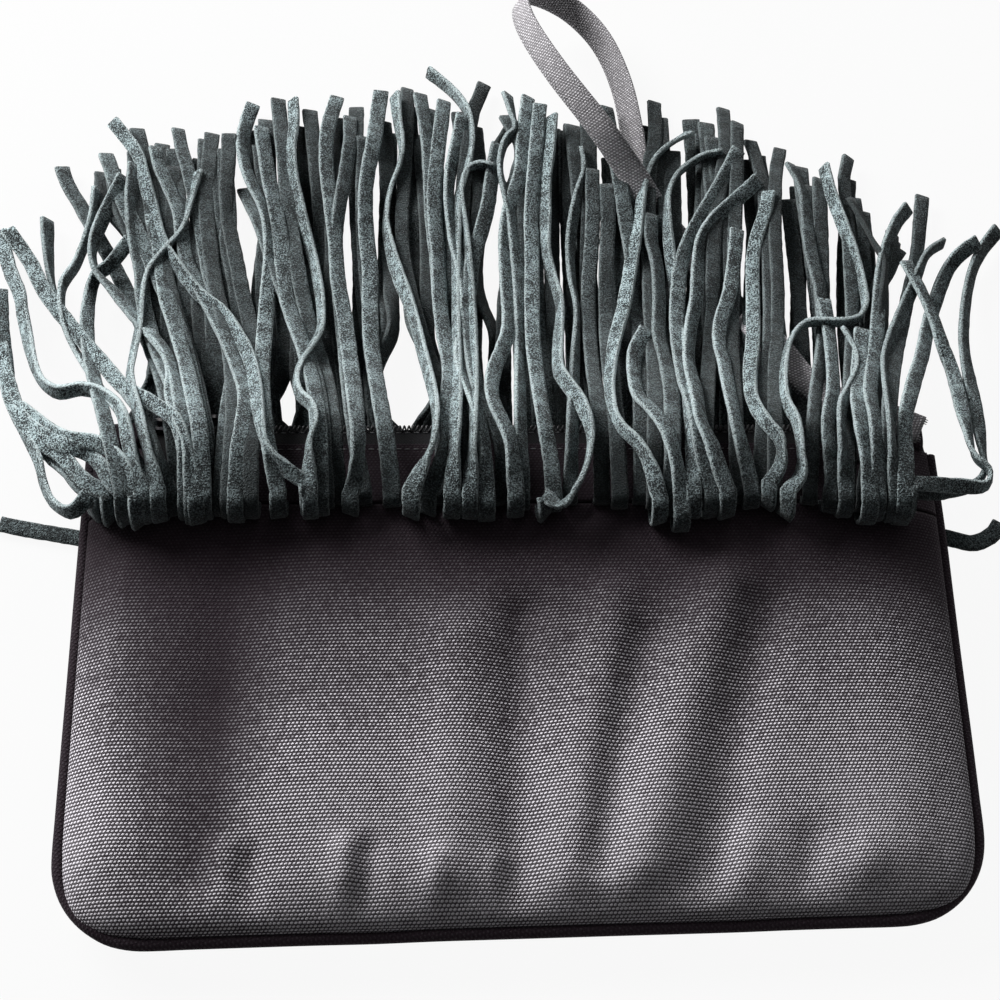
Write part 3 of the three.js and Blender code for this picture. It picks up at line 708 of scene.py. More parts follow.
# Slider, pull and stops. Small dark metal castings, as the CAD nodes make them, with a worn gunmetal plating.
METAL_DARK = (0.05, 0.05, 0.055, 1)
METAL_WORN = (0.32, 0.31, 0.3, 1)
plating = Finish("gunmetal_plating", Metallic=1.0)
plating_place = plating.node("TexCoord", None, None, 3)
plating_wear = plating.ease(plating.noise(plating_place, 420.0, 4.0), 0.45, 0.75)
plating_colour = plating.blend(plating_wear, METAL_DARK, METAL_WORN)
plating_finish = plating.done(plating_wear, 0.15, 0.0001, Base_Color=plating_colour,
                              Roughness=plating_wear * -0.15 + 0.42)
for node in ("zip_slider", "zip_pull", "zip_top_stop_front", "zip_top_stop_back", "zip_bottom_stop"):
    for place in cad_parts[node].material_slots:
        place.material = plating_finish

# Suede of the fringes. Grey-green split leather with a speckled nap, fuzzy and paler along the cut edges.
# A strip is a ribbon that is laid on what lies under it, and stands on edge where it bends sideways.
SUEDE_DARK = (0.009, 0.0135, 0.0145, 1)
SUEDE_NAP = (0.45, 0.565, 0.585, 1)
SUEDE_PALE = (0.52, 0.61, 0.62, 1)
STRIP_WIDTH = 5.3
STRIP_THICK = 1.8
STRIP_STEP_PIXELS = 5.5
STRIP_SECTION = np.array(((-1, -0.35), (-0.94, -0.8), (-0.66, -1), (0.66, -1), (0.94, -0.8), (1, -0.35),
                          (1, 0.35), (0.94, 0.8), (0.66, 1), (-0.66, 1), (-0.94, 0.8), (-1, 0.35)))
STRIP_EDGE = np.array((0.85, 0.7, 0.28, 0.28, 0.7, 0.85, 0.85, 0.7, 0.28, 0.28, 0.7, 0.85))
BRIGHT_TONE = 1.39
TWIST_BY_BEND = 30
TWIST_WAVE = 0.2
TWIST_MOST = 1.45
SETTLED_STEPS = 7
DRAPE_SLOPE = 0.5
RAGGED = 0.05
LOOSE_HEAP = 4.5
PRESSED_HEAP = 3.5
PILE_CELL = 1.2
PILE_X = 205.0
PILE_Y = (20.0, 270.0)


def suede(name, painted_light_level):
    """Suede on object coordinates, with each strip's tone and painted light and shade, and the paler edges,
    as marks on the mesh; the second argument sets a painted light level for the whole material.
    """
    hide = Finish(name, Roughness=0.95, Sheen_Weight=0.15, Sheen_Roughness=0.6, Specular_IOR_Level=0.1)
    place = hide.node("TexCoord", None, None, 3)
    speckle = hide.noise(place, 1900.0, 1.5, 0.6)
    mottle = hide.noise(place, 210.0, 2.0)
    tone = hide.node("Attribute", {"attribute_name": "tone"}, None, 2)
    edge = hide.node("Attribute", {"attribute_name": "edge"}, None, 2)
    nap = hide.ease(speckle + (mottle - 0.5) * 0.4, 0.4, 0.68)
    face = hide.blend((nap * tone * (0.55 * painted_light_level)).math("MINIMUM", 1.0), SUEDE_DARK, SUEDE_NAP)
    fuzz = hide.ease(edge + (speckle - 0.5) * 1.6, 0.35, 1.0) * tone * (0.55 * painted_light_level)
    colour = hide.blend(fuzz.math("MINIMUM", 1.0), face, SUEDE_PALE)
    return hide.done(speckle, 1.0, 0.0009, Base_Color=colour)


class Pile:
    """The height of all that has been laid so far, on a grid of small squares."""

    def __init__(self):
        columns = int(2 * PILE_X / PILE_CELL)
        rows = int((PILE_Y[1] - PILE_Y[0]) / PILE_CELL)
        self.top = np.zeros((columns, rows))

    def cells(self, place, side, half):
        offsets = np.linspace(-1, 1, 7)
        x = place[:, 0, None] + side[:, 0, None] * half[:, None] * offsets
        y = place[:, 1, None] + side[:, 1, None] * half[:, None] * offsets
        columns = np.clip(((x + PILE_X) / PILE_CELL).astype(int), 0, self.top.shape[0] - 1)
        rows = np.clip(((y - PILE_Y[0]) / PILE_CELL).astype(int), 0, self.top.shape[1] - 1)
        return columns, rows

    def under(self, place, side, half):
        return self.top[self.cells(place, side, half)].max(1)

    def lay(self, place, side, half, top):
        columns, rows = self.cells(place, side, half)
        np.maximum.at(self.top, (columns, rows), np.repeat(top[:, None], columns.shape[1], 1))


def eased(values, reach):
    """A running mean over reach values to either side."""
    padded = np.pad(values, reach, mode="edge")
    return np.convolve(padded, np.ones(2 * reach + 1) / (2 * reach + 1), "valid")


def draped(height, gaps, slope):
    """Lifts a line of heights so that it rises and falls no faster than slope."""
    height = height.copy()
    for k in range(1, len(height)):
        height[k] = max(height[k], height[k - 1] - slope * gaps[k - 1])
    for k in range(len(height) - 2, -1, -1):
        height[k] = max(height[k], height[k + 1] - slope * gaps[k])
    return height


class Fringe:
    """Strips gathered into one mesh, each laid on the pile as it comes."""

    def __init__(self, pile, resting, seed, ceiling=None, light_along=((0, 1), (1, 1))):
        self.pile = pile
        self.resting = resting
        self.ceiling = ceiling
        self.light_along = light_along
        self.chance = random.Random(seed)
        self.points, self.faces, self.tone, self.edge = [], [], [], []
        self.count = 0

    def add(self, pixels, tone, lean, root=None, broad=1.0):
        """One strip along a line of pixels from its tip to its root, with its lean off flat in degrees."""
        line = smooth_line(pixels[::-1], STRIP_STEP_PIXELS)
        height = np.full(len(line), 10.0)
        for _ in range(8):
            place = on_level(line, height)
            height = 0.5 * height + 0.5 * self.resting(place[:, 0], place[:, 1])
        ahead = directions(place[:, :2])
        heading = np.unwrap(np.arctan2(ahead[:, 1], ahead[:, 0]))
        gaps = np.linalg.norm(np.diff(place[:, :2], axis=0), axis=1)
        bend = eased(np.gradient(heading) / np.maximum(np.gradient(np.cumsum(np.append(0, gaps))), 0.2), 3)
        way = 1 if tone > BRIGHT_TONE else -1
        wave = TWIST_WAVE * np.sin(np.arange(len(line)) * 0.16 + self.chance.uniform(0, 6.3))
        twist = way * (np.abs(bend) * TWIST_BY_BEND + math.radians(lean)) + wave
        settled = np.clip(np.arange(len(line)) / SETTLED_STEPS, 0, 1)
        twist = eased(np.clip(twist, -TWIST_MOST, TWIST_MOST), 4) * settled
        if self.ceiling:
            twist = twist * np.clip(self.ceiling(place[:, 1]) / 3 - 0.6, 0, 1)
        side = np.stack((ahead[:, 1], -ahead[:, 0]), 1)
        half_width = broad * STRIP_WIDTH / 2 * self.chance.uniform(0.92, 1.08)
        half_thick = STRIP_THICK / 2
        half_high = np.abs(np.sin(twist)) * half_width + np.cos(twist) * half_thick
        half_wide = np.cos(twist) * half_width + np.abs(np.sin(twist)) * half_thick
        on_pile = self.pile.under(place, side, half_wide) + half_high
        lift = np.maximum(on_pile, height + half_high - half_thick)
        over = eased(draped(lift, gaps, DRAPE_SLOPE), 3) - height
        heaped = np.maximum(over - LOOSE_HEAP, 0)
        lift = height + np.minimum(over, LOOSE_HEAP) + PRESSED_HEAP * (1 - np.exp(-heaped / PRESSED_HEAP))
        if self.ceiling:
            lift = np.minimum(lift, self.ceiling(place[:, 1]))
        lift = np.maximum(lift, half_high + 0.1)
        place = on_level(line, lift)
        self.pile.lay(place, side, half_wide, lift + half_high)
        side = np.concatenate((side, np.zeros((len(side), 1))), 1)
        if root is not None:
            place, side, twist = self.rooted(place, side, twist, root)
        along = directions(place)
        normal = np.cross(side, along)
        normal /= np.linalg.norm(normal, axis=1)[:, None]
        across = np.cross(along, normal)
        cos, sin = np.cos(twist)[:, None], np.sin(twist)[:, None]
        wide = cos * across + sin * normal
        thick = cos * normal - sin * across
        rings = []
        for k in range(len(place)):
            ragged = np.array([1 + self.chance.uniform(-RAGGED, RAGGED) for _ in STRIP_SECTION])
            spread = STRIP_SECTION[:, 0] * ragged * half_width
            rings.append(place[k] + np.outer(spread, wide[k])
                         + np.outer(STRIP_SECTION[:, 1] * half_thick, thick[k]))
        rings = np.array(rings)
        faces, _ = sweep(rings)
        self.faces += [tuple(corner + self.count for corner in face) for face in faces]
        self.points.append(rings.reshape(-1, 3))
        length = np.append(0, np.cumsum(np.linalg.norm(np.diff(place, axis=0), axis=1)))
        # Each point's tone is scaled by painted light and shade along the strip.
        self.tone += list(np.repeat(tone * np.interp(length, *zip(*self.light_along)), len(STRIP_SECTION)))
        self.edge += list(np.tile(STRIP_EDGE, len(place)))
        self.count += len(place) * len(STRIP_SECTION)

    def rooted(self, place, side, twist, root):
        """Puts the turn at the root before the strip: out of the seam and round to its beginning."""
        turn = smooth_line(np.concatenate((root(place[0]), place[:1])), 1.2)[:-1]
        count = len(turn)
        place = np.concatenate((turn, place))
        side = np.concatenate((np.repeat(side[:1], count, 0), side))
        twist = np.concatenate((np.zeros(count), twist))
        return place, side, twist

    def piece(self, name, material):
        marks = {"tone": self.tone, "edge": self.edge}
        return make_piece(name, np.concatenate(self.points), self.faces, material, None, marks)


pile = Pile()

# Back fringe. Strips of the same suede, sewn into the seam of the back, that lie on the table
# and show dark between the strips of the front fringe, their suede painted darker as shade.
BACK_STRIPS = 78
BACK_SPREAD = (112, 918)
BACK_ROOT_ROW = 506
TIP_LINE = ((60, 200), (120, 150), (200, 135), (300, 108), (400, 100), (520, 102), (610, 118), (700, 110),
            (750, 140), (800, 165), (850, 170), (900, 215), (960, 260))
STRAY_STRIPS = (((0, 524), (30, 530), (60, 535), (92, 540), (130, 540), (180, 537), (225, 533)),
                ((1000, 524), (992, 535), (975, 543), (955, 540), (925, 532), (880, 530), (835, 532)))
WHITE_GAPS = ((405, 392, 25, 50), (287, 405, 8, 34), (247, 240, 11, 46), (492, 262, 9, 56), (508, 165, 7, 28),
              (930, 340, 50, 110), (90, 330, 60, 130))


def on_table(x, y):
    return np.full(np.shape(x), 0.75)


def under_bag(y):
    """The most height that a back strip has: little under the bag, and less than the zip behind it."""
    return np.interp(y, (86, 96, 112, 125), (1.4, 4.5, 8.5, 9.5))


def back_line(root_x, tip_x, tip_y, chance):
    """A strip's line in the picture, kept to one side of each gap where the table shows."""
    line = []
    sway = chance.uniform(2, 7)
    phase = chance.uniform(0, 6.3)
    for share in np.linspace(0, 1, 12):
        x = tip_x + (root_x - tip_x) * share + sway * math.sin(5 * share + phase)
        y = tip_y + (BACK_ROOT_ROW - tip_y) * share
        for gap_x, gap_y, half_x, half_y in WHITE_GAPS:
            near = 1 - abs((y - gap_y) / half_y) ** 3
            middle = tip_x + (root_x - tip_x) * (gap_y - tip_y) / (BACK_ROOT_ROW - tip_y)
            room = (half_x + 8) * near
            if near > 0 and abs(x - gap_x) < room:
                x = gap_x + math.copysign(room, middle - gap_x)
        line.append((x, y))
    return line


# The back fringe's suede is painted at half the light level, as shade.
shaded_back_suede = suede("suede_back", 0.5)
back_fringe = Fringe(pile, on_table, 11, under_bag)
for k in range(BACK_STRIPS):
    share = k / (BACK_STRIPS - 1)
    root_x = BACK_SPREAD[0] + share * (BACK_SPREAD[1] - BACK_SPREAD[0])
    spread = 2 * share - 1
    tip_x = 500 + 400 * spread + back_fringe.chance.uniform(-12, 12)
    tip_y = np.interp(tip_x, *zip(*TIP_LINE)) + back_fringe.chance.uniform(2, 45)
    line = back_line(root_x, tip_x, tip_y, back_fringe.chance)
    # Random tones held low: painted shade on the back strips.
    tone = back_fringe.chance.uniform(0.25, 0.75)
    back_fringe.add(line, tone, back_fringe.chance.uniform(4, 14), broad=1.12)
for line in STRAY_STRIPS:
    back_fringe.add(line, 1.0, 30)
back_fringe_piece = back_fringe.piece("back_fringe_suede", shaded_back_suede)
settle(back_fringe_piece, "suede_back", "back_fringe")

# Wrist strap. A loop of narrow woven webbing, sewn in at the right end of the zip,
# that runs out under the front fringe and lies with its end past the strips.
STRAP_WIDTH = 10.0
STRAP_THICK = 1.2
STRAP_STITCH_AT = 3.7
STRAP_DARK = (0.2, 0.19, 0.2, 1)
STRAP_LIGHT = (0.84, 0.82, 0.85, 1)
STRAP_STOPS = (
    ((134, 80, 18.5), 0, 0.675), ((118, 87.5, 18.8), 0, 0.675), ((101, 97, 16.26), 0, 0.675),
    ((89, 118, 13.26), 0, 0.675), ((83.5, 129, 8.15), 0, 0.675), ((77, 142, 3.45), 0, 0.675),
    ((66, 161, 3.35), 0, 0.675), ((55, 178, 4.15), 8, 0.675), ((47, 192, 8.8), 27, 4),
    ((40, 209, 15.2), 44, 12), ((31, 231, 18.4), 52, 18.5), ((23, 252, 18.4), 56, 19),
    ((17, 266, 18), 56, 13), ((14, 272, 17.5), 56, 0))

webbing = woven("strap_webbing", STRAP_DARK, STRAP_LIGHT, 1.15, 1.0, 0.5, 0.75, 0.3)


def strap_band():
    """The middle line of the band, out along one leg and back along the other, with the way across it."""
    middle = np.array([stop[0] for stop in STRAP_STOPS], float)
    lean = np.radians([stop[1] for stop in STRAP_STOPS])[:, None]
    half = np.array([stop[2] for stop in STRAP_STOPS])
    ahead = directions(middle)
    flat = np.stack((ahead[:, 1], -ahead[:, 0], np.zeros(len(middle))), 1)
    flat /= np.linalg.norm(flat, axis=1)[:, None]
    up = np.cross(flat, ahead)
    across = np.cos(lean) * flat + np.sin(lean) * up
    apart = np.cross(ahead, across)
    out_leg = middle + half[:, None] * apart
    back_leg = middle - half[:, None] * apart
    line = np.concatenate((out_leg[:-1], middle[-1:], back_leg[-2::-1]))
    return line, np.concatenate((across, across[-2::-1]))


strap_stops, strap_across = strap_band()
both = smooth_line(np.concatenate((strap_stops, strap_across * 20), 1), 2.0)
strap_line = both[:, :3]
strap_across = both[:, 3:] / np.linalg.norm(both[:, 3:], axis=1)[:, None]
strap_ahead = directions(strap_line)
strap_normal = np.cross(strap_across, strap_ahead)
strap_normal /= np.linalg.norm(strap_normal, axis=1)[:, None]
strap_wide = np.cross(strap_ahead, strap_normal)
STRAP_SECTION = np.array(((-1, -0.4), (-0.95, -1), (-0.4, -0.9), (0.4, -0.9), (0.95, -1), (1, -0.4), (1, 0.4),
                          (0.95, 1), (0.4, 0.9), (-0.4, 0.9), (-0.95, 1), (-1, 0.4)))
strap_rings = (strap_line[:, None]
               + STRAP_SECTION[None, :, :1] * STRAP_WIDTH / 2 * strap_wide[:, None]
               + STRAP_SECTION[None, :, 1:] * STRAP_THICK / 2 * strap_normal[:, None])
faces, uvs = sweep(strap_rings)
strap = make_piece("wrist_strap_webbing", strap_rings.reshape(-1, 3), faces, webbing, uvs)
settle(strap, "webbing", "wrist_strap")
for edge in (-1, 1):
    for face in (-1, 1):
        row = strap_line + edge * STRAP_STITCH_AT * strap_wide + face * STRAP_THICK * 0.47 * strap_normal
        stitch_row("strap_stitches_" + "abcd"[edge + 1 + (face > 0)], row, "webbing")
strap_half = np.full(len(strap_line), STRAP_WIDTH / 2)
under_fringe = strap_line[:, 2] < 20
pile.lay(strap_line[under_fringe], strap_wide[under_fringe], strap_half[under_fringe] * 0.9,
         strap_line[under_fringe, 2] + 1.2)

# Front fringe. The strips are cut into one band of suede sewn into the front seam, hang out of it,
# turn back in a tight bend and lie up over the zip and out on the table.
DRAPE_REACH = (-33, -28, -20, -12, -6, 0, 4, 12, 34, 58, 78, 100)
DRAPE_HEIGHT = (24.8, 26.6, 28.7, 30.4, 31.3, 31.2, 30.0, 25.5, 14.0, 6.0, 3.2, 2.4)
BAG_SIDE = 126.0
BAG_TOP = 77.0
ROOT_TURN_PIXELS = 17
BEND_REACH = 5.0
SHADE_CONTRAST = 2.4
# Painted light and shade along a front strip from its root: dark at the bend, paler over the ridge of the
# drape.
ROOT_LIGHT_AND_SHADE = ((0, 0.2), (10, 0.22), (24, 0.5), (42, 1.05), (60, 1.3), (95, 1.2), (150, 1.0))

# The strips, lowest first: tone with painted light and shade (lower strips darker, upper ones paler), lean
# off flat in degrees, and the line in the picture from tip to root.
FRONT_STRIPS = (
    (0.6, 10, ((137, 130), (148, 180), (155, 230), (172, 300), (190, 360), (205, 430), (214, 508))),
    (0.9, 10, ((106, 155), (112, 172), (118, 190), (150, 260), (180, 330), (196, 400), (205, 450),
               (208, 508))),
    (0.8, 10, ((62, 168), (68, 185), (80, 205), (88, 220), (112, 262), (144, 330), (165, 390),
               (180, 508))),
    (0.9, 60, ((47, 220), (48, 250), (51, 280), (58, 300), (90, 345), (122, 388), (152, 434), (168, 508))),
    (0.9, 30, ((135, 165), (131, 200), (132, 225), (136, 250), (142, 275), (143, 300), (155, 345),
               (176, 400), (190, 508))),
    (1.1, 70, ((97, 190), (93, 215), (86, 240), (76, 265), (62, 288), (66, 330), (95, 380), (125, 425),
               (150, 508))),
    (0.8, 10, ((178, 130), (182, 150), (188, 170), (195, 200), (203, 240), (210, 280), (220, 310),
               (234, 350), (226, 420), (220, 508))),
    (0.6, 10, ((212, 135), (209, 165), (206, 200), (210, 250), (216, 290), (228, 340), (234, 400),
               (229, 508))),
    (0.55, 5, ((229, 135), (228, 165), (226, 195), (229, 225), (235, 255), (242, 290), (252, 340),
               (250, 508))),
    (0.7, 10, ((278, 100), (281, 130), (285, 165), (288, 205), (296, 260), (308, 320), (328, 390),
               (338, 508))),
    (0.8, 20, ((244, 190), (252, 207), (260, 225), (275, 270), (298, 330), (318, 390), (326, 508))),
    (1.0, 15, ((261, 128), (265, 155), (269, 180), (275, 205), (281, 245), (287, 300), (304, 350),
               (316, 400), (320, 508))),
    (0.8, 20, ((350, 118), (350, 140), (345, 175), (339, 210), (336, 240), (340, 300), (346, 360),
               (352, 420), (364, 508))),
    (0.55, 5, ((407, 90), (408, 112), (404, 180), (402, 240), (410, 290), (424, 340), (442, 400),
               (441, 508))),
    (0.9, 15, ((420, 95), (424, 118), (428, 145), (430, 170), (432, 215), (437, 260), (442, 320),
               (455, 380), (458, 508))),
    (0.55, 5, ((484, 85), (478, 100), (473, 112), (466, 160), (462, 220), (468, 280), (470, 340),
               (472, 508))),
    (0.9, 50, ((582, 150), (585, 170), (579, 193), (573, 222), (570, 250), (572, 282), (577, 310),
               (575, 360), (570, 508))),
    (0.7, 10, ((592, 170), (593, 215), (591, 255), (588, 300), (592, 360), (600, 420), (602, 508))),
    (0.6, 5, ((607, 185), (608, 220), (606, 280), (608, 350), (616, 420), (620, 508))),
    (0.8, 15, ((606, 108), (612, 140), (619, 175), (624, 208), (632, 260), (635, 300), (640, 360),
               (642, 508))),
    (0.6, 10, ((654, 103), (655, 135), (650, 165), (648, 220), (650, 300), (655, 380), (655, 508))),
    (0.8, 20, ((651, 215), (651, 240), (657, 266), (659, 300), (659, 335), (666, 362), (672, 400),
               (672, 508))),
    (0.55, 5, ((723, 110), (725, 150), (715, 220), (712, 300), (708, 380), (702, 508))),
    (0.6, 10, ((737, 124), (737, 160), (735, 230), (732, 320), (735, 400), (738, 508))),
    (0.6, 10, ((750, 142), (757, 162), (763, 185), (768, 240), (770, 320), (765, 400), (760, 508))),
    (0.55, 5, ((780, 150), (776, 172), (775, 230), (778, 300), (775, 380), (775, 508))),
    (0.8, 20, ((790, 165), (801, 187), (806, 210), (809, 240), (814, 265), (820, 290), (822, 340),
               (815, 400), (810, 508))),
    (0.7, 10, ((848, 158), (844, 180), (846, 200), (850, 260), (852, 320), (850, 380), (848, 508))),
    (0.35, 40, ((851, 200), (862, 220), (873, 242), (884, 262), (882, 320), (878, 380), (864, 508))),
    (0.7, 20, ((922, 197), (920, 222), (916, 258), (905, 310), (893, 370), (888, 430), (886, 508))),
    # left side, upper layer
    (1.0, 20, ((0, 290), (2, 330), (6, 365), (10, 395), (25, 425), (45, 450), (65, 470), (85, 492),
               (102, 508))),
    (1.2, 40, ((2, 350), (8, 395), (24, 430), (38, 460), (44, 485), (54, 504), (72, 512), (92, 507))),
    (1.3, 10, ((0, 345), (12, 400), (34, 436), (62, 456), (86, 482), (108, 511))),
    (1.3, 10, ((4, 372), (22, 418), (52, 440), (92, 456), (112, 482), (124, 512))),
    (1.3, 15, ((20, 408), (60, 436), (100, 444), (122, 462), (132, 490), (136, 512))),
    (1.0, 20, ((130, 240), (110, 265), (97, 275), (90, 295), (87, 330), (92, 370), (105, 420),
               (122, 508))),
    (1.0, 30, ((124, 177), (112, 200), (98, 230), (92, 252), (97, 272), (113, 290), (135, 318),
               (150, 335), (172, 368), (184, 430), (186, 508))),
    (1.3, 35, ((0, 232), (10, 270), (20, 295), (22, 310), (28, 340), (35, 367), (44, 384), (58, 392),
               (82, 389), (103, 394), (120, 410), (128, 440), (135, 475), (142, 508))),
    (1.1, 15, ((152, 215), (160, 255), (165, 295), (173, 322), (181, 347), (188, 373), (194, 402),
               (199, 426), (203, 508))),
    (1.1, 20, ((148, 330), (165, 350), (172, 370), (172, 395), (180, 420), (188, 442), (191, 475),
               (192, 512))),
    (1.2, 8, ((8, 230), (30, 262), (45, 292), (70, 325), (100, 360), (125, 388), (150, 402), (175, 420),
              (185, 450), (192, 480), (196, 512))),
    (1.0, 15, ((155, 148), (160, 168), (170, 190), (179, 212), (182, 235), (186, 258), (198, 285),
               (212, 312), (228, 345), (238, 370), (245, 395), (243, 420), (238, 450), (236, 480),
               (235, 512))),
    (1.2, 60, ((198, 172), (191, 198), (182, 230), (165, 250), (150, 268), (144, 285), (141, 305),
               (138, 330), (133, 355), (130, 378), (140, 420), (158, 508))),
    (1.1, 20, ((253, 105), (246, 125), (242, 145), (246, 168), (254, 188), (264, 210), (269, 235),
               (270, 265), (267, 300), (264, 340), (262, 380), (266, 430), (278, 508))),
    (1.2, 25, ((113, 122), (126, 138), (138, 155), (144, 178), (150, 200), (163, 243), (180, 270),
               (200, 295), (222, 312), (238, 335), (250, 360), (256, 390), (260, 420), (266, 445),
               (285, 468), (306, 500))),
    (1.2, 45, ((293, 100), (294, 125), (291, 150), (294, 180), (301, 212), (309, 243), (316, 272),
               (321, 305), (320, 330), (310, 348), (301, 362), (296, 380), (300, 395), (311, 405),
               (315, 422), (309, 442), (310, 508))),
    # middle, upper layer
    (1.0, 12, ((337, 98), (328, 128), (326, 160), (330, 200), (335, 240), (338, 280), (345, 320),
               (350, 360), (355, 400), (358, 440), (355, 480), (350, 512))),
    (1.0, 10, ((381, 92), (374, 140), (366, 185), (366, 230), (370, 270), (370, 310), (372, 350),
               (378, 390), (385, 430), (390, 470), (392, 512))),
    (1.0, 15, ((444, 102), (438, 150), (434, 190), (435, 222), (438, 255), (439, 295), (443, 330),
               (450, 370), (447, 410), (447, 440), (440, 465), (428, 512))),
    (1.25, 55, ((395, 95), (398, 122), (402, 147), (399, 166), (391, 187), (387, 207), (386, 227),
                (391, 252), (399, 277), (408, 300), (415, 322), (421, 347), (428, 372), (434, 397),
                (436, 420), (432, 445), (423, 465), (411, 508))),
    (1.2, 60, ((428, 72), (445, 85), (460, 100), (469, 116), (472, 140), (467, 166), (458, 200),
               (456, 300), (456, 400), (452, 508))),
    (0.9, 20, ((498, 145), (492, 175), (488, 205), (480, 235), (473, 257), (470, 282), (468, 312),
               (476, 380), (500, 440), (504, 508))),
    (1.1, 30, ((463, 115), (457, 145), (450, 175), (449, 205), (455, 245), (462, 270), (466, 300),
               (464, 332), (460, 354), (463, 375), (472, 395), (480, 420), (485, 450), (486, 482),
               (487, 512))),
    (1.2, 60, ((495, 168), (482, 165), (470, 168), (463, 178), (461, 196), (463, 215), (466, 238),
               (470, 300), (474, 400), (470, 508))),
    (1.0, 40, ((507, 95), (512, 115), (516, 130), (505, 142), (500, 168), (512, 220), (520, 300),
               (520, 400), (522, 508))),
    (1.1, 20, ((528, 98), (523, 140), (521, 172), (513, 196), (506, 225), (505, 250), (507, 290),
               (508, 330), (502, 350), (494, 370), (492, 395), (510, 440), (516, 508))),
    (1.1, 8, ((540, 105), (535, 160), (531, 215), (532, 255), (532, 300), (533, 340), (536, 370),
              (541, 402), (546, 432), (551, 462), (554, 512))),
    (1.2, 45, ((552, 116), (549, 150), (545, 185), (545, 220), (546, 252), (553, 280), (560, 305),
               (558, 345), (559, 370), (569, 386), (581, 403), (590, 428), (590, 450), (584, 472),
               (574, 491), (561, 505), (545, 512))),
    (1.1, 10, ((646, 330), (635, 352), (634, 377), (639, 396), (651, 408), (664, 425), (672, 445),
               (680, 480), (682, 524))),
    (1.3, 35, ((690, 133), (669, 145), (652, 163), (643, 188), (638, 220), (633, 252), (628, 283),
               (623, 310), (615, 340), (610, 372), (611, 400), (619, 424), (640, 446), (652, 470),
               (658, 492), (660, 514))),
    # right side, upper layer
    (1.2, 60, ((722, 153), (705, 156), (690, 164), (677, 175), (669, 191), (667, 212), (669, 245),
               (680, 330), (690, 420), (694, 508))),
    (1.0, 15, ((738, 150), (728, 170), (716, 192), (703, 214), (691, 236), (682, 260), (678, 290),
               (677, 330), (684, 380), (694, 410), (700, 445), (712, 508))),
    (1.1, 25, ((758, 180), (745, 192), (728, 207), (712, 222), (701, 240), (698, 266), (696, 300),
               (690, 332), (689, 362), (696, 392), (701, 420), (711, 442), (721, 472), (728, 508))),
    (1.1, 15, ((737, 230), (734, 262), (729, 295), (721, 320), (719, 342), (724, 362), (729, 390),
               (738, 430), (748, 470), (752, 508))),
    (1.2, 8, ((769, 192), (765, 212), (758, 233), (753, 258), (753, 300), (753, 340), (750, 372),
              (753, 400), (766, 422), (780, 440), (780, 466), (769, 500))),
    (1.0, 10, ((824, 300), (830, 340), (833, 388), (828, 420), (830, 452), (832, 482), (830, 512))),
    (1.3, 60, ((824, 167), (829, 187), (836, 207), (844, 228), (852, 248), (859, 270), (864, 292),
               (865, 306), (858, 318), (843, 322), (823, 322), (807, 323), (796, 331), (788, 345),
               (784, 362), (783, 382), (786, 402), (796, 420), (801, 450), (800, 476), (788, 508))),
    (1.0, 40, ((845, 330), (856, 352), (858, 370), (850, 390), (842, 407), (843, 450), (846, 508))),
    (1.0, 20, ((908, 208), (896, 224), (887, 246), (882, 268), (879, 300), (876, 342), (872, 375),
               (870, 392), (876, 425), (878, 460), (878, 508))),
    (1.1, 10, ((862, 330), (858, 395), (862, 430), (868, 462), (870, 512))),
    (0.9, 45, ((943, 243), (928, 253), (919, 272), (910, 295), (898, 322), (888, 346), (884, 366),
               (890, 420), (896, 508))),
    (0.9, 30, ((998, 230), (985, 246), (975, 264), (969, 285), (965, 312), (964, 345), (970, 382),
               (976, 412), (982, 450), (985, 470), (974, 485), (945, 492), (912, 508))),
    (1.1, 15, ((978, 242), (964, 251), (951, 265), (942, 283), (935, 303), (927, 330), (922, 355),
               (913, 385), (905, 420), (906, 462), (905, 510))),
    (1.1, 10, ((906, 262), (922, 292), (935, 322), (943, 347), (952, 370), (960, 400), (967, 430),
               (974, 455), (990, 472), (986, 486), (960, 486), (930, 484), (912, 500))),
)


def over_bag(x, y):
    """How high the front strips lie where nothing but the bag and the table is under them."""
    aside = np.maximum(np.abs(x) - BAG_SIDE, 0)
    beyond = y - BAG_TOP
    level = np.interp(np.where(beyond > 0, np.hypot(aside, beyond), beyond), DRAPE_REACH, DRAPE_HEIGHT)
    drop = np.interp(0, DRAPE_REACH, DRAPE_HEIGHT) - np.interp(aside, DRAPE_REACH, DRAPE_HEIGHT)
    return np.where(beyond > 0, level, level - drop)


def front_root(start):
    """The turn of a front strip: from inside the seam, out along the panel and up to its start."""
    low = front_shape(start[:1], np.array((FRINGE_SEAM,)))[0, 2]
    half = max(start[2] - low - 0.9, 1.0) / 2
    reach = min(half, BEND_REACH)
    bend = [(start[0], start[1] - reach * math.cos(turn), low + 0.9 + half + half * math.sin(turn))
            for turn in np.radians((-90, -60, -25, 10, 40, 68))]
    return np.array([(start[0], FRINGE_SEAM, low - 0.8), (start[0], FRINGE_SEAM - 1.0, low + 0.8)] + bend)


front_suede = suede("suede_front", 1.0)
front_fringe = Fringe(pile, over_bag, 23, None, ROOT_LIGHT_AND_SHADE)
for tone, lean, line in FRONT_STRIPS:
    bend_x, bend_y = line[-1]
    # Lower strips are painted darker as shade and upper strips paler as painted light.
    shade = tone ** SHADE_CONTRAST
    front_fringe.add(line[:-1] + ((bend_x, bend_y - ROOT_TURN_PIXELS),), shade, lean, front_root)
front_fringe_piece = front_fringe.piece("front_fringe_suede", front_suede)
settle(front_fringe_piece, "suede", "front_fringe")

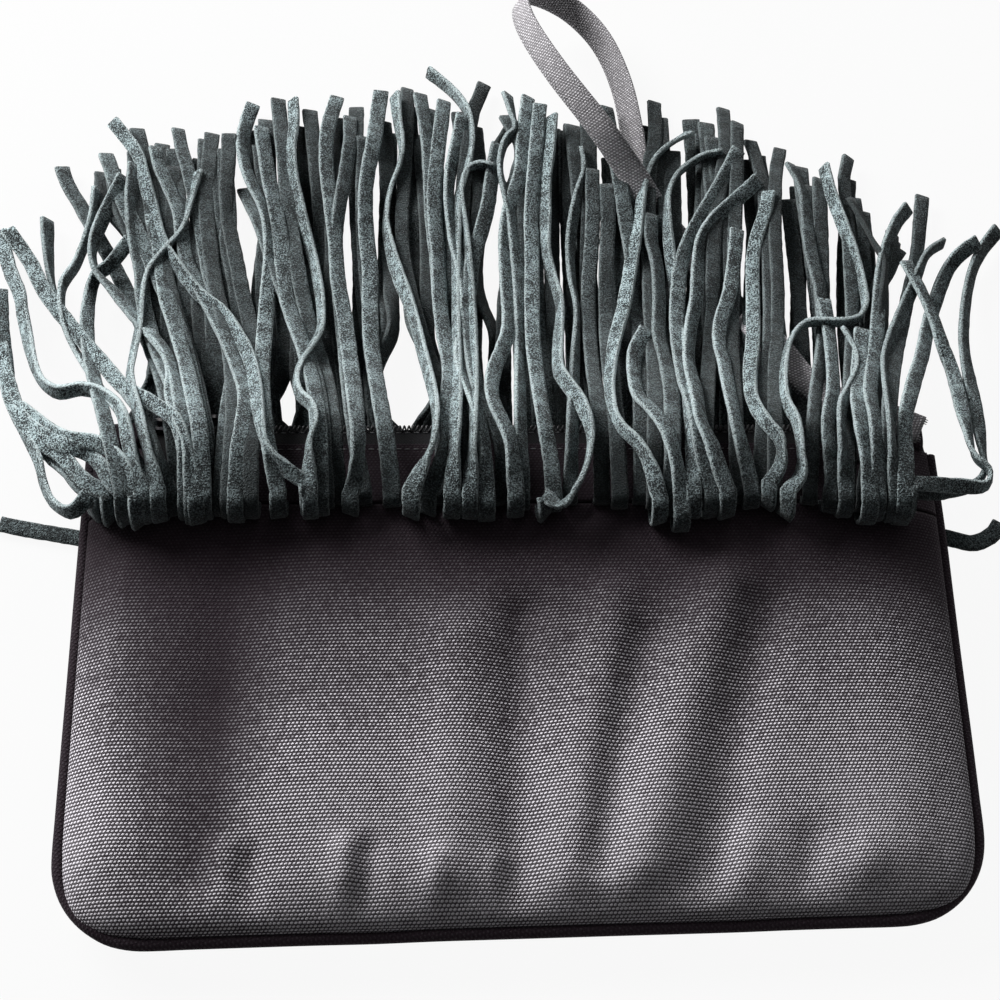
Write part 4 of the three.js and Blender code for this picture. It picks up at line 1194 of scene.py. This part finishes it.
# Table and light. A plain white table, a broad window behind the bag to its left, a weak one behind it
# to its right, and an even sky that fills the shadows.
FLOOR_SIZE = 30.0
FLOOR_COLOUR = (0.5, 0.5, 0.5, 1)
FLOOR_WHITE = 0.93
SKY = 0.035
floor_mesh = bpy.data.meshes.new("table")
half = FLOOR_SIZE / 2
floor_mesh.from_pydata([(-half, -half, -0.0004), (half, -half, -0.0004), (half, half, -0.0004),
                        (-half, half, -0.0004)], [], [(0, 1, 2, 3)])
table_top = Finish("table_top", Roughness=0.9, Base_Color=FLOOR_COLOUR)
seen = table_top.node("LightPath", None, None, 0)
seen_path = seen.socket.node
for ray in ("Is Glossy Ray", "Is Transmission Ray"):
    seen = seen.math("MAXIMUM", Level(table_top, seen_path.outputs[ray]))
white = table_top.node("Emission", None, {"Color": (1, 1, 1, 1), "Strength": 1.0})
lit = Level(table_top, table_top.surface.outputs[0])
top = table_top.node("MixShader", None, {0: seen * FLOOR_WHITE, 1: lit, 2: white})
table_top.tree.links.new(top.socket, table_top.tree.nodes["Material Output"].inputs[0])
floor_mesh.materials.append(table_top.material)
table = bpy.data.objects.new("table", floor_mesh)
scene.collection.objects.link(table)


def window(name, place, aim, size, power):
    """A soft rectangular light at a place in metres, turned to a point."""
    lamp = bpy.data.lights.new(name, "AREA")
    lamp.shape = "RECTANGLE"
    lamp.size, lamp.size_y = size
    lamp.energy = power
    holder = bpy.data.objects.new(name, lamp)
    away = (Matrix.Translation(place).translation - Matrix.Translation(aim).translation)
    holder.matrix_world = Matrix.Translation(place) @ away.to_track_quat("Z", "Y").to_matrix().to_4x4()
    scene.collection.objects.link(holder)


window("left_window", (-0.8, 0.82, 0.58), (0, 0.03, 0), (0.9, 0.5), 31)
window("back_window", (0.6, 1.0, 0.8), (0, 0.05, 0), (0.8, 0.5), 2.5)

world = bpy.data.worlds.new("sky")
world.use_nodes = True
scene.world = world
sky_tree = world.node_tree
sky = sky_tree.nodes["Background"]
sky.inputs["Color"].default_value = (1, 1, 1, 1)
path = sky_tree.nodes.new("ShaderNodeLightPath")
shown = path.outputs["Is Camera Ray"]
for ray in ("Is Glossy Ray", "Is Transmission Ray"):
    either = sky_tree.nodes.new("ShaderNodeMath")
    either.operation = "MAXIMUM"
    sky_tree.links.new(shown, either.inputs[0])
    sky_tree.links.new(path.outputs[ray], either.inputs[1])
    shown = either.outputs[0]
level = sky_tree.nodes.new("ShaderNodeMapRange")
sky_tree.links.new(shown, level.inputs["Value"])
level.inputs["To Min"].default_value = SKY
level.inputs["To Max"].default_value = FLOOR_WHITE
sky_tree.links.new(level.outputs[0], sky.inputs["Strength"])
scene.view_settings.view_transform = "Standard"
